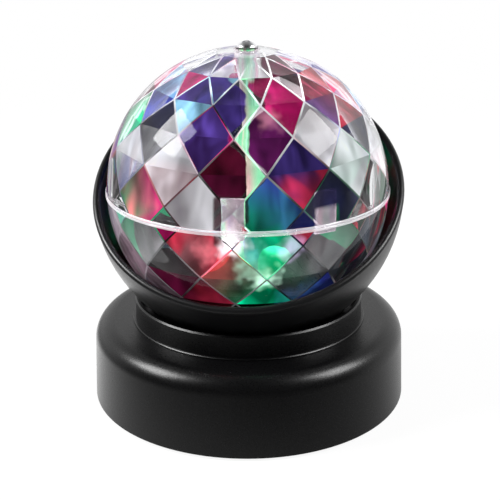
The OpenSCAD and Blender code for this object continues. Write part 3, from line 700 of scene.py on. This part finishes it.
@contextmanager
def editing(piece: bpy.types.Object, mode: str) -> Iterator[None]:
    """Edit mode on one piece, with all of it selected.

    Args:
        piece: The mesh to edit.
        mode: VERT, EDGE or FACE.
    """
    activate(piece)
    bpy.ops.object.mode_set(mode="EDIT")
    bpy.ops.mesh.select_mode(type=mode)
    bpy.ops.mesh.select_all(action="SELECT")
    yield
    bpy.ops.object.mode_set(mode="OBJECT")


@contextmanager
def picking(piece: bpy.types.Object) -> Iterator[bpy.types.Mesh]:
    """Leaves edit mode for a moment with nothing selected, so that code selects faces or edges.

    Args:
        piece: Mesh in edit mode.

    Yields:
        The mesh to select in.
    """
    bpy.ops.mesh.select_all(action="DESELECT")
    bpy.ops.object.mode_set(mode="OBJECT")
    yield piece.data
    bpy.ops.object.mode_set(mode="EDIT")


def named(name: str) -> bpy.types.Object:
    """Names the primitive that was just added, and its mesh.

    Args:
        name: The new name.

    Returns:
        The primitive.
    """
    piece = bpy.context.object
    piece.name = name
    piece.data.name = name
    return piece


def wear(piece: bpy.types.Object, *finishes: Finish) -> None:
    """Puts finishes in the slots of a piece, in order."""
    for finish in finishes:
        piece.data.materials.append(material_of(finish))


def turned(name: str, outline: Outline, steps: int = 144) -> bpy.types.Object:
    """Spins an outline about the Z axis into a closed solid.

    Args:
        name: Name of the piece.
        outline: Points of radius and height, from the axis and back to it.
        steps: Faces around the axis.

    Returns:
        The solid.
    """
    deselect()
    bpy.ops.mesh.primitive_plane_add(size=MM)
    piece = named(name)
    with editing(piece, "VERT"):
        bpy.ops.mesh.merge(type="CENTER")
        bpy.ops.transform.translate(value=(outline[0][0], 0, outline[0][1]))
        for (r, z), (next_r, next_z) in zip(outline, outline[1:]):
            bpy.ops.mesh.extrude_region_move(TRANSFORM_OT_translate={"value": (next_r - r, 0, next_z - z)})
        bpy.ops.mesh.select_all(action="SELECT")
        bpy.ops.mesh.spin(steps=steps, angle=2 * math.pi, center=(0, 0, 0), axis=(0, 0, 1))
        bpy.ops.mesh.select_all(action="SELECT")
        bpy.ops.mesh.remove_doubles(threshold=SAME_PLACE)
        bpy.ops.mesh.normals_make_consistent(inside=False)
    return piece


def combine(piece: bpy.types.Object, tool: bpy.types.Object, join: Join) -> None:
    """Cuts or joins a piece with a tool, which is used up.

    Args:
        piece: The solid that stays.
        tool: The solid that is used up.
        join: Whether the tool is added or cut away.
    """
    activate(piece)
    modifier = piece.modifiers.new(join.name, "BOOLEAN")
    modifier.operation = join.value
    modifier.solver = "EXACT"
    modifier.material_mode = "TRANSFER"
    modifier.object = tool
    bpy.ops.object.modifier_apply(modifier=modifier.name)
    activate(tool)
    bpy.ops.object.delete()


def arc(radius: float, start: float, end: float, steps: int) -> list[tuple[float, float]]:
    """Points of radius and height on a circle about the origin, between two angles in degrees."""
    angles = [math.radians(start + (end - start) * i / steps) for i in range(steps + 1)]
    return [(radius * math.cos(a), radius * math.sin(a)) for a in angles]


def direction(longitude: float, latitude: float) -> Vector:
    """Unit vector from the middle of the ball, by degrees, with longitude 0 at the front and 90 at +X."""
    lon, lat = math.radians(longitude), math.radians(latitude)
    return Vector((math.cos(lat) * math.sin(lon), -math.cos(lat) * math.cos(lon), math.sin(lat)))


def between(first: Sequence[float], second: Sequence[float], part: float) -> list[float]:
    """Numbers that lie a part of the way from the first to the second."""
    return [a * (1 - part) + b * part for a, b in zip(first, second)]


# Sub-assemblies


@dataclass(frozen=True)
class Beam:
    """Patch of the ball that one light colours with painted light."""

    light: Light
    longitude: float
    latitude: float
    reach: float
    strength: float = 1.0
    falloff: float = 2.0

    def away(self, towards: Vector) -> float:
        """How far off the beam a direction is, in reaches."""
        return math.degrees(towards.angle(direction(self.longitude, self.latitude))) / self.reach

    def share(self, towards: Vector) -> float:
        """How much of the beam falls on a facet that looks in a direction, up to its strength."""
        return self.strength * max(0.0, 1.0 - self.away(towards) ** 2)

    def pull(self, towards: Vector) -> float:
        """How strongly the beam draws a corner that lies in a direction, never nought."""
        return math.exp(-self.falloff * self.away(towards) ** 2)


@dataclass
class Ball:
    """Clear ball in two halves, faceted inside, with its rib, socket and clips."""

    centre_z: float
    beams: Sequence[Beam]
    # Painted bursts of light on the facets, and painted hazes of light in the lower half's clear wall.
    bursts: Marks
    painted_hazes: Marks
    radius: float = 50 * MM
    wall: float = 2.2 * MM
    upper_steps: int = 56
    lower_steps: int = 32
    columns: int = 13
    rows: int = 6
    top_latitude: float = 77
    rib_height: float = 0.9 * MM
    rib_proud: float = 0.4 * MM
    rib_nick: float = 0.15 * MM
    seam_gap: float = 0.04 * MM
    least_climb: float = 1 * MM
    edge_round: float = 0.32 * MM
    dome_rings: int = 4
    dome_columns: int = 39
    seat_radius: float = 3.9 * MM
    seat_height: float = 0.2 * MM
    rod_radius: float = 2.73 * MM
    socket_wall: float = 0.85 * MM
    socket_length: float = 7.6 * MM
    socket_steps: int = 48
    flange: float = 0.8 * MM
    flange_height: float = 1.5 * MM
    screw_hole: float = 1.5 * MM
    cut_past: float = 1 * MM
    mouth_depth: float = 33.2 * MM
    clip_angles: tuple[float, ...] = (0, 40, 180, 220)
    clip_width: float = 7.5 * MM
    clip_thick: float = 1.6 * MM
    clip_height: float = 10 * MM
    clip_foot: float = 4 * MM
    clip_gap: float = 0.3 * MM
    clip_outside: float = 44.75 * MM
    clip_round: float = 0.25 * MM
    smooth_angle: float = 25
    clear: ClearPlastic = ClearPlastic("ball_clear", (0.96, 0.97, 0.99), (0.0, 0.03))
    rib: Finish = FrostedRib("ball_rib", 0.4, (0.17, 0.14, 0.155))
    clip_plastic: Finish = FrostedRib("ball_clips", 0.2, (0.3, 0.23, 0.27))
    edge: Finish = BrightEdge("ball_edges", 0.8, 82 * MM, 116 * MM)
    draw_range: float = 20
    # Painted shade across each facet, and how strongly the painted light and its tint show.
    slope_span: float = 0.2
    middle_fade: float = 0.65
    slope_fade: float = 0.35
    least_fade: float = 0.2
    spark_gain: float = 1.6
    tint_gain: float = 2
    least_tint: float = 0.4
    most_cloud: float = 0.9

    @property
    def inside(self) -> float:
        """Distance of the facets' corners from the middle of the ball."""
        return self.radius - self.wall

    @property
    def row_step(self) -> float:
        """Latitude from one ring of corners to the next."""
        return self.top_latitude / (self.rows - 0.5)

    @property
    def roof(self) -> float:
        """Height at which the facets end and the smooth dome begins."""
        return self.inside * math.sin(math.radians(self.top_latitude))

    @property
    def pane(self) -> FacetPane:
        """Finish of the facets, with the bursts of light on them."""
        bursts = self.spots(self.bursts, self.inside)
        return FacetPane("ball_facets", bursts, self.centre_z, self.inside, self.row_step)

    @property
    def low_clear(self) -> ClearPlastic:
        """Finish of the lower half's outside, with the painted hazes of light in it."""
        return replace(self.clear, name="ball_clear_low", painted_hazes=self.spots(self.painted_hazes, self.radius))

    def spots(self, marks: Marks, radius: float) -> Pools:
        """Places at a radius that longitudes and latitudes name, with their colours."""
        middle = Vector((0, 0, self.centre_z))
        return tuple((tuple(middle + radius * direction(lon, lat)), colour) for lon, lat, colour in marks)

    def build(self) -> None:
        """Models both halves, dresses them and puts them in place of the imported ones."""
        for name, side, node in (
            ("ball_upper", Side.UPPER, "ball_upper_shell"),
            ("ball_lower", Side.LOWER, "ball_lower_shell"),
        ):
            shell = self.half(name, side)
            combine(shell, self.hollow(side), Join.CUT)
            if side is Side.UPPER:
                combine(shell, self.socket(), Join.ADD)
                combine(shell, self.bore(), Join.CUT)
            else:
                for angle in self.clip_angles:
                    combine(shell, self.clip(angle), Join.ADD)
            self.shade(shell)
            self.colour(shell)
            with editing(shell, "VERT"):
                bpy.ops.transform.translate(value=(0, 0, self.centre_z))
            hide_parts(node)
            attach(shell, "ball")
            LOG.info("%s: %d faces", name, len(shell.data.polygons))

    def half(self, name: str, side: Side) -> bpy.types.Object:
        """Solid half ball with its rib.

        Args:
            name: Name of the piece.
            side: Which half.

        Returns:
            The solid.
        """
        rib = self.radius + self.rib_proud
        low = math.degrees(math.asin(self.rib_height / self.radius))
        nick = self.rib_nick
        outline = [(0, self.seam_gap), (rib - nick, self.seam_gap), (rib, self.seam_gap + nick)]
        outline += [(rib, self.rib_height - nick), (rib - nick, self.rib_height)]
        if side is Side.UPPER:
            high = math.degrees(math.acos(self.seat_radius / self.radius))
            top = self.radius + self.seat_height
            outline += arc(self.radius, low, high, self.upper_steps) + [(self.seat_radius, top), (0, top)]
        else:
            high = math.degrees(math.asin(self.mouth_depth / self.radius))
            outline += arc(self.radius, low, high, self.lower_steps) + [(0, self.mouth_depth)]
        solid = turned(name, [(r, side.value * z) for r, z in outline])
        wear(solid, self.clear if side is Side.UPPER else self.low_clear, self.rib)
        for face in solid.data.polygons:
            proud = math.hypot(face.center.x, face.center.y) > self.radius + self.rib_proud / 3
            face.material_index = 1 if proud else 0
        return solid

    def hollow(self, side: Side) -> bpy.types.Object:
        """Inside of one half: rings of corners, each turned half a facet from the last, and a smooth dome.

        Args:
            side: Which half.

        Returns:
            The solid to cut away.
        """
        pitch = 2 * math.pi / self.columns
        deselect()
        rings = []
        for row in range(self.rows + 1):
            turn = math.pi + (pitch / 2 if row % 2 == 0 else 0)
            rings.append(self.ring(side, self.columns, (row - 0.5) * self.row_step, turn))
        finer = (90 - self.top_latitude) / (self.dome_rings + 0.5)
        for row in range(1, self.dome_rings + 1):
            rings.append(self.ring(side, self.dome_columns, self.top_latitude + row * finer, math.pi))
        for ring in rings:
            ring.select_set(True)
        bpy.ops.object.transform_apply(location=True, rotation=True, scale=True)
        bpy.ops.object.join()
        hollow = named("facet_hollow")
        wear(hollow, self.pane, self.edge, self.clear)
        with editing(hollow, "EDGE"):
            bpy.ops.mesh.convex_hull(join_triangles=False)
            bpy.ops.mesh.select_all(action="SELECT")
            bpy.ops.mesh.normals_make_consistent(inside=False)
            with picking(hollow) as mesh:
                for edge in mesh.edges:
                    start, end = (mesh.vertices[i].co.z for i in edge.vertices)
                    edge.select = abs(end - start) > self.least_climb
            bpy.ops.mesh.bevel(offset=self.edge_round, segments=EDGE_SEGMENTS, affect="EDGES", material=1)
        for face in hollow.data.polygons:
            if abs(face.center.z) > self.roof:
                face.material_index = 2
        return hollow

    def ring(self, side: Side, corners: int, latitude: float, turn: float) -> bpy.types.Object:
        """One ring of corners on the inside of the ball.

        Args:
            side: Which half.
            corners: How many corners it has.
            latitude: Its angle from the joint line, in degrees.
            turn: Angle of its first corner, in radians.

        Returns:
            The ring.
        """
        lat = math.radians(latitude)
        bpy.ops.mesh.primitive_circle_add(
            vertices=corners,
            radius=self.inside * math.cos(lat),
            location=(0, 0, side.value * self.inside * math.sin(lat)),
            rotation=(0, 0, turn),
        )
        return bpy.context.object

    def socket(self) -> bpy.types.Object:
        """Returns the socket for the top of the rod, as a solid to add."""
        outer = self.rod_radius + self.socket_wall
        foot = self.roof - self.socket_length
        step = self.roof - self.flange_height
        sunk = self.radius - self.wall / 2
        outline = [(0, foot), (outer, foot), (outer, step), (outer + self.flange, step)]
        outline += [(outer + self.flange, sunk), (0, sunk)]
        solid = turned("rod_socket", outline, self.socket_steps)
        wear(solid, self.clip_plastic)
        return solid

    def bore(self) -> bpy.types.Object:
        """Returns the bore for the rod with the screw's hole above it, as a solid to cut away."""
        foot = self.roof - self.socket_length - self.cut_past
        top = self.radius + self.cut_past
        outline = [(0, foot), (self.rod_radius, foot), (self.rod_radius, self.roof)]
        outline += [(self.screw_hole, self.roof), (self.screw_hole, top), (0, top)]
        solid = turned("rod_bore", outline, self.socket_steps)
        wear(solid, self.clear)
        return solid

    def clip(self, angle: float) -> bpy.types.Object:
        """Clip that stands up from the lower half on a foot in its wall.

        Args:
            angle: Where it stands around the ball, in degrees from the front.

        Returns:
            The solid to add.
        """
        thick, foot, gap = self.clip_thick, self.clip_foot, self.clip_gap
        deselect()
        bpy.ops.mesh.primitive_cube_add(size=1)
        piece = named("joining_clip")
        with editing(piece, "FACE"):
            bpy.ops.transform.resize(value=(self.clip_width, thick, foot - gap))
            bpy.ops.transform.translate(value=(0, -self.clip_outside + thick / 2, -(foot + gap) / 2))
            with picking(piece) as mesh:
                for face in mesh.polygons:
                    face.select = face.normal.z > UPWARD
            rise = (0, 0, self.clip_height + gap)
            bpy.ops.mesh.extrude_region_move(TRANSFORM_OT_translate={"value": rise})
            bpy.ops.mesh.select_all(action="SELECT")
            bpy.ops.mesh.bevel(offset=self.clip_round, segments=EDGE_SEGMENTS, affect="EDGES")
            bpy.ops.mesh.select_all(action="SELECT")
            bpy.ops.transform.rotate(value=-math.radians(angle), orient_axis="Z", center_override=(0, 0, 0))
        wear(piece, self.clip_plastic)
        return piece

    def facets(self, shell: bpy.types.Object) -> list[bpy.types.MeshPolygon]:
        """Returns the flat faces of the faceted inside."""
        slot = shell.data.materials.find(self.pane.name)
        return [face for face in shell.data.polygons if face.material_index == slot]

    def shade(self, shell: bpy.types.Object) -> None:
        """Smooth outside and edges, flat facets.

        Args:
            shell: One half of the ball.
        """
        activate(shell)
        bpy.ops.object.shade_smooth_by_angle(angle=math.radians(self.smooth_angle))
        for face in self.facets(shell):
            face.use_smooth = False

    def colour(self, shell: bpy.types.Object) -> None:
        """Writes the painted light of each facet to its corners: its two strongest beams, blended across it.

        Args:
            shell: One half of the ball, about the origin.
        """
        mesh = shell.data
        kinds = dict.fromkeys(("glow", "spark", "tint"), "FLOAT_COLOR")
        kinds |= dict.fromkeys(("cloud", "draw"), "FLOAT")
        for name, kind in kinds.items():
            mesh.attributes.new(name, kind, "CORNER")
        glow, spark, tint, cloud, drawn = (mesh.attributes[name].data for name in kinds)
        for loop in range(len(mesh.loops)):
            tint[loop].color = (*WHITE, 1.0)
        for face in self.facets(shell):
            towards = self.aim(face)
            draw = self.draw(towards)
            two, one = sorted(self.beams, key=lambda beam: beam.share(towards))[-2:]
            first, second = one.light.value, two.light.value
            most, next_most = one.share(towards), two.share(towards)
            # Painted shade: each facet fades from bright to dim along a random way across it, in its glow,
            # spark and tint.
            bright_way = Vector([draw.uniform(-1, 1) for _ in range(3)])
            bright_way = (bright_way - towards * bright_way.dot(towards)).normalized()
            number = draw.uniform(0, self.draw_range)
            glows = zip(first.glow, second.glow)
            sparks = [max(self.spark_gain * a * most, b * next_most) for a, b in glows]
            for loop in face.loop_indices:
                corner = mesh.vertices[mesh.loops[loop].vertex_index].co.normalized()
                pulls = one.pull(corner) * most, two.pull(corner) * next_most
                part = pulls[1] / max(sum(pulls), LEAST_PULL)
                slope = (corner - towards).dot(bright_way) / self.slope_span
                fade = min(1.0, max(self.least_fade, self.middle_fade + self.slope_fade * slope))
                shade = self.least_tint + (1 - self.least_tint) * fade
                tinge = min(1.0, self.tint_gain * most)
                shown = [(1 + (c - 1) * tinge) * shade for c in between(first.tint, second.tint, part)]
                sent = between(first.glow, second.glow, part)
                glow[loop].color = (*[c * most * fade for c in sent], 1.0)
                spark[loop].color = (*[c * fade for c in sparks], 1.0)
                tint[loop].color = (*[c * c for c in shown], 1.0)
                milky = first.cloud * (1 - part) + second.cloud * part
                cloud[loop].value = min(self.most_cloud, milky * most)
                drawn[loop].value = number

    def aim(self, face: bpy.types.MeshPolygon) -> Vector:
        """Direction from the middle of the ball in which a facet takes its light.

        Args:
            face: The facet.

        Returns:
            Unit vector to the facet's middle, or along the normal for a facet that the joint line cuts.
        """
        outward = -face.normal
        cut = abs(math.degrees(math.asin(outward.z))) < self.row_step
        return outward if cut else face.center.normalized()

    def draw(self, towards: Vector) -> random.Random:
        """Random numbers of one facet.

        Args:
            towards: Unit vector from the middle of the ball to the facet.

        Returns:
            The source of numbers.
        """
        longitude = math.degrees(math.atan2(towards.x, -towards.y))
        latitude = math.degrees(math.asin(towards.z))
        column = round(longitude * 2 * self.columns / 360)
        return random.Random(f"{column} {round(latitude / (self.row_step / 2))}")


class Assembly:
    """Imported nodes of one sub-assembly, kept in their shape and given finishes."""

    def finishes(self) -> dict[str, Finish]:
        """Returns the finish of each node by its name."""
        raise NotImplementedError

    def dress(self) -> None:
        """Puts the finishes on the nodes."""
        for name, finish in self.finishes().items():
            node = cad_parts[name]
            node.data.materials.clear()
            wear(node, finish)
            LOG.info("%s: %s", name, finish.name)


SATIN_BLACK = Moulded("satin_black", (0.0018, 0.0018, 0.002), (0.25, 0.35), sheen=0.28)
GLOSS_BLACK = Moulded("gloss_black", (0.0035, 0.0035, 0.004), (0.3, 0.4), relief=0.002 * MM, sheen=0.38)
TEXTURED_BLACK = Moulded(
    "textured_black", (0.006, 0.006, 0.0065), (0.45, 0.6), grain=0.7 * MM, relief=0.03 * MM, sheen=0.2
)
PLAIN_STEEL = Moulded("plain_steel", (0.55, 0.55, 0.57), (0.25, 0.4), metal=1.0, shift=0.1)
BLACKED_STEEL = Moulded("blacked_steel", (0.03, 0.03, 0.032), (0.3, 0.45), metal=0.8, shift=0.1)
CHROME = Moulded("bright_chrome", (0.9, 0.9, 0.92), (0.16, 0.26), relief=0.003 * MM, metal=1.0, shift=0.05)
BRASS = Moulded("turned_brass", (0.72, 0.5, 0.2), (0.2, 0.35), metal=1.0, shift=0.1)
NYLON = Moulded("white_nylon", (0.8, 0.8, 0.77), (0.4, 0.55), shift=0.05)


@dataclass
class Stand(Assembly):
    """Drum base, collar and cradle that carry the ball."""

    body: Finish = SATIN_BLACK
    bowl: Finish = GLOSS_BLACK
    fixing: Finish = PLAIN_STEEL
    foot: Finish = Moulded("foot_rubber", (0.02, 0.02, 0.02), (0.7, 0.85), grain=0.9 * MM, relief=0.02 * MM)

    def finishes(self) -> dict[str, Finish]:
        """Returns the finish of each node by its name."""
        return {
            "base_shell": self.body,
            "neck_collar": self.body,
            "cradle_bowl": self.bowl,
            "neck_screws": self.fixing,
            "rubber_feet": self.foot,
        }


@dataclass
class PowerTray(Assembly):
    """Bottom cover with the cells, their contacts and the door."""

    cover: Finish = TEXTURED_BLACK
    metal: Finish = PLAIN_STEEL
    sleeve_share: float = 0.96
    band_share: float = 0.6

    def finishes(self) -> dict[str, Finish]:
        """Returns the finish of each node by its name."""
        low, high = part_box("aa_cells")
        half = (high[0] - low[0]) / 2
        middle = (low[0] + high[0]) / 2
        jacket = CellJacket("cell_jacket", middle, half * self.sleeve_share, half * self.band_share)
        return {
            "bottom_cover": self.cover,
            "battery_door": self.cover,
            "cover_screws": self.metal,
            "aa_cells": jacket,
            "cell_springs": self.metal,
            "contact_plates": self.metal,
        }


@dataclass
class Switch(Assembly):
    """Slide switch at the back of the base."""

    knob: Finish = TEXTURED_BLACK
    shell: Finish = PLAIN_STEEL

    def finishes(self) -> dict[str, Finish]:
        """Returns the finish of each node by its name."""
        return {"switch_knob": self.knob, "switch_body": self.shell, "switch_screws": self.shell}


@dataclass
class Drive(Assembly):
    """Motor, gears, spindle and the clear rod that turn the ball."""

    case: Finish = SATIN_BLACK
    metal: Finish = PLAIN_STEEL
    bearing: Finish = BRASS
    gear: Finish = NYLON
    cap: Finish = CHROME
    rod_light: float = 1.0
    rod_fade: float = 28 * MM

    def finishes(self) -> dict[str, Finish]:
        """Returns the finish of each node by its name."""
        low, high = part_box("drive_rod")
        rod = LitRod("lit_rod", high[0] - low[0], self.rod_light, high[2] - self.rod_fade, high[2])
        worn = {"gear_case": self.case, "drive_rod": rod, "top_screw": self.cap}
        worn |= dict.fromkeys(("shaft_bush", "motor_pinion"), self.bearing)
        worn |= dict.fromkeys(("output_gear", "slow_idler", "fast_idler"), self.gear)
        metal = ("drive_motor", "motor_shaft", "motor_screws", "idler_axles", "ball_spindle")
        return worn | dict.fromkeys(metal, self.metal)


@dataclass
class Lamps(Assembly):
    """Light board with its three lamps, and the deck over it."""

    board: Finish = Moulded("green_board", (0.04, 0.2, 0.09), (0.3, 0.45))
    fixing: Finish = BLACKED_STEEL
    heart_reach: float = 3.8 * MM
    heart_strength: float = 5.0
    pool_reach: float = 15 * MM
    pool_strength: float = 0.8

    def finishes(self) -> dict[str, Finish]:
        """Returns the finish of each node by its name."""
        worn = {"led_board": self.board, "deck_screws": self.fixing}
        pools = []
        for node, light in (("red_led", Light.RED), ("green_led", Light.GREEN), ("blue_led", Light.BLUE)):
            glow = light.value.glow
            low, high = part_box(node)
            middle = tuple((a + b) / 2 for a, b in zip(low, high))
            pools.append((middle, glow))
            heart = (middle[0], middle[1], high[2])
            name = node.replace("led", "lens")
            worn[node] = LampLens(name, glow, heart, self.heart_reach, self.heart_strength)
        worn["lamp_deck"] = LitDeck("lit_deck", tuple(pools), self.pool_reach, self.pool_strength)
        return worn


def placed(name: str, data: bpy.types.ID) -> bpy.types.Object:
    """Puts a lamp or a camera in the scene.

    Args:
        name: Name of the object.
        data: What it holds.

    Returns:
        The object.
    """
    thing = bpy.data.objects.new(name, data)
    bpy.context.scene.collection.objects.link(thing)
    return thing


@dataclass(frozen=True)
class SoftBox:
    """Soft box that looks at the middle of the object and isn't seen through the clear plastic."""

    name: str
    place: Point
    size: tuple[float, float]
    power: float
    target: Point = (0, 0, 60 * MM)

    def hang(self) -> None:
        """Adds the lamp to the scene."""
        light = bpy.data.lights.new(self.name, "AREA")
        light.shape = "RECTANGLE"
        light.size, light.size_y = self.size
        light.energy = self.power
        lamp = placed(self.name, light)
        lamp.location = self.place
        lamp.visible_transmission = False
        lamp.rotation_euler = (Vector(self.target) - Vector(self.place)).to_track_quat("-Z", "Y").to_euler()


@dataclass
class Stage:
    """Pale floor, soft light and the camera.

    Each Ease says where a level along an axis begins and ends to change, and the levels there.
    """

    floor_size: float = 6.0
    floor_drop: float = 0.1 * MM
    paper: float = 30 * MM
    shadow_reach: Span = (0.15, 0.6)
    white_share: float = 0.9
    floor_depth: Ease = (-0.2, 0.2, 0.14, 0.95)
    mirror_depth: Ease = (-0.14, 0.08, 0.26, 1.95)
    mirror_left: Ease = (-0.15, -0.08, 0.27, 1.0)
    mirror_right: Ease = (-0.04, 0.05, 1.0, 0.5)
    sky_depth: Ease = (-0.35, 0.55, 0.07, 0.95)
    sky_height: Ease = (0.4, 0.85, 1.0, 0.25)
    sky_behind: Ease = (-0.1, 0.35, 0.07, 1.0)
    boxes: tuple[SoftBox, ...] = (
        SoftBox("left_box", (-0.75, -0.17, 0.7), (0.5, 0.42), 16.0),
        SoftBox("right_box", (0.74, -0.06, 0.72), (0.46, 0.42), 11.0),
    )
    lens: float = 79.73
    sensor: float = 36
    nearest: float = 10 * MM
    distance: float = 403.5 * MM
    azimuth: float = 6.1
    elevation: float = 20.33
    roll: float = -0.36
    aim_right: float = 0.66 * MM
    aim_z: float = 53.49 * MM

    def build(self) -> None:
        """Makes the floor, the world, the lamps and the camera."""
        self.floor()
        self.world()
        for box in self.boxes:
            box.hang()
        self.camera()

    def floor(self) -> None:
        """Pale floor: white to the camera, with a soft shadow, and dim where it mirrors in the front."""
        deselect()
        bpy.ops.mesh.primitive_plane_add(size=self.floor_size, location=(0, 0, -self.floor_drop))
        floor = named("floor")
        shader = Shader("floor_paper")
        paper = shader.noise(self.paper)
        shader.set(Base_Color=shader.mix(paper, (0.86, 0.86, 0.86), (0.9, 0.9, 0.9)), Roughness=0.9)
        path = shader.add("ShaderNodeLightPath").outputs
        kinds = ("Camera", "Glossy", "Transmission")
        straight, mirrored, through = (path[f"Is {kind} Ray"] for kind in kinds)
        across, along = (shader.axis(shader.place, name) for name in "XY")
        far = shader.ramp(along, *self.floor_depth)
        close = shader.math(
            "MULTIPLY",
            shader.ramp(along, *self.mirror_depth),
            shader.ramp(across, *self.mirror_left),
            shader.ramp(across, *self.mirror_right),
        )
        level = shader.output("ShaderNodeMix", "Result", {"Factor": mirrored, "A": far, "B": close})
        strength = shader.math("MAXIMUM", straight, level)
        white = shader.output("ShaderNodeEmission", "Emission", {"Strength": strength})
        plain = shader.ramp(shader.near((0, 0, 0), *self.shadow_reach), 0.0, 1.0, 1.0, self.white_share)
        share = shader.math("MAXIMUM", shader.math("MULTIPLY", straight, plain), mirrored, through)
        inputs = {"Fac": share, 1: shader.bsdf.outputs["BSDF"], 2: white}
        surface = shader.output("ShaderNodeMixShader", "Shader", inputs)
        shader.feed(shader.tree.nodes["Material Output"].inputs["Surface"], surface)
        floor.data.materials.append(shader.material)

    def world(self) -> None:
        """White surroundings, dimmer as a light, before the object and overhead."""
        world = bpy.data.worlds.new("studio")
        world.use_nodes = True
        bpy.context.scene.world = world
        nodes = Nodes(world.node_tree)
        towards = nodes.add("ShaderNodeTexCoord").outputs["Generated"]
        along, up = (nodes.axis(towards, name) for name in "YZ")
        path = nodes.add("ShaderNodeLightPath").outputs
        lit = nodes.math("MULTIPLY", nodes.ramp(along, *self.sky_depth), nodes.ramp(up, *self.sky_height))
        through = nodes.math("MULTIPLY", path["Is Transmission Ray"], nodes.ramp(along, *self.sky_behind))
        background = nodes.tree.nodes["Background"].inputs
        nodes.feed(background["Color"], WHITE)
        nodes.feed(background["Strength"], nodes.math("MAXIMUM", path["Is Camera Ray"], through, lit))

    def camera(self) -> None:
        """Camera at the photograph's view."""
        turn, lift, roll = (math.radians(a) for a in (self.azimuth, self.elevation, self.roll))
        back = Vector((math.sin(turn) * math.cos(lift), -math.cos(turn) * math.cos(lift), math.sin(lift)))
        right = Vector((math.cos(turn), math.sin(turn), 0))
        up = back.cross(right)
        target = right * self.aim_right + Vector((0, 0, self.aim_z))
        x_axis = right * math.cos(roll) + up * math.sin(roll)
        y_axis = up * math.cos(roll) - right * math.sin(roll)
        data = bpy.data.cameras.new("camera")
        data.lens = self.lens
        data.sensor_width = self.sensor
        data.clip_start = self.nearest
        camera = placed("camera", data)
        facing = Matrix((x_axis, y_axis, back)).transposed().to_4x4()
        camera.matrix_world = Matrix.Translation(target + back * self.distance) @ facing
        bpy.context.scene.camera = camera


# Painted light on the facets: longitude, latitude and reach of each beam, and its strength where it isn't 1.
PLAY_OF_LIGHT: dict[Light, tuple[tuple[float, ...], ...]] = {
    Light.ROOM: (
        (-31, 24, 15), (-15, 8, 12), (44, 34, 13, 1.1), (-58, 25, 11), (57, 21, 10, 1.1),
        (-14, 68, 7, 1.4), (14, 68, 7, 1.4), (-40, -13, 13, 0.4), (40, -15, 14, 0.4), (-24, -6, 12, 0.1),
    ),
    Light.CYAN: ((-27, 43, 8), (-60, 58, 9, 1.2)),
    Light.BLUE: ((-52, 46, 10), (-50, 10, 12, 1.2), (17, 12, 11, 1.5), (22, -5, 8, 0.8), (38, -36, 10, 0.3)),
    Light.VIOLET: (
        (-20, 55, 10, 1.3), (-13, 37, 12, 1.2), (54, 47, 10, 0.8), (-29, 71, 8), (28, 24, 11, 0.8),
        (0, 50, 12),
    ),
    Light.NAVY: ((-46, 36, 11, 1.1), (42, 8, 12), (66, 32, 9)),
    Light.WINE: ((0, 20, 12), (40, 69, 11), (-22, -28, 13)),
    Light.PLUM: ((14, 35, 11),),
    Light.MAGENTA: ((24, 53, 12, 1.35), (-36, 7, 12, 1.5), (-39, 58, 6.5, 1.2)),
    Light.RED: (
        (31, 13, 9, 1.1), (-4, 24, 7, 0.8), (73, 51, 15, 1.3), (-9, -9, 14), (-16, -34, 9, 0.5),
        (-9, -22, 12, 0.07),
    ),
    Light.GREEN: (
        (-66, 37, 10, 1.8), (-49, 3, 12, 1.6), (10, 2, 13, 1.2), (14, -11, 11), (11, -30, 10, 1.6),
        (4, -20, 13, 0.55),
    ),
}
# Painted bursts of light on the facets: longitude, latitude and colour.
BURSTS: Marks = (
    (0, -6, (1.4, 1.3, 1.35)), (13, -21, (0.8, 1.3, 1.0)), (23, -9, (0.6, 0.45, 0.75)),
    (-10, -9, (0.6, 0.14, 0.17)), (8, -10, (0.1, 0.35, 0.3)), (5, -16, (0.22, 0.45, 0.32)),
    (18, 44, (0.4, 0.16, 0.2)), (24, -33, (0.01, 0.05, 0.11)), (33, -29, (0.01, 0.04, 0.09)),
)
# Painted hazes of light in the lower half's clear wall: longitude, latitude and colour.
PAINTED_HAZES: Marks = (
    (-78, -5, (0.14, 0.12, 0.14)), (-62, -26, (0.09, 0.06, 0.075)), (80, -18, (0.04, 0.045, 0.055)),
)


def all_round(beams: list[Beam], turns: Sequence[float] = (120, 240), widest: float = 40) -> list[Beam]:
    """The beams, and copies further round the ball of those up to the widest longitude, in degrees."""
    near = [beam for beam in beams if abs(beam.longitude) < widest]
    return beams + [replace(beam, longitude=beam.longitude + turn) for turn in turns for beam in near]


def main() -> None:
    """Builds the sub-assemblies in order."""
    logging.basicConfig(level=logging.INFO, format="%(name)s %(message)s")
    bpy.context.scene.view_settings.view_transform = "Standard"
    for assembly in (Stand(), PowerTray(), Switch(), Drive(), Lamps()):
        assembly.dress()
    front = [Beam(light, *spot) for light, spots in PLAY_OF_LIGHT.items() for spot in spots]
    Ball(centre_z=77.31 * MM, beams=all_round(front), bursts=BURSTS, painted_hazes=PAINTED_HAZES).build()
    Stage().build()


if __name__ == "__main__":
    main()
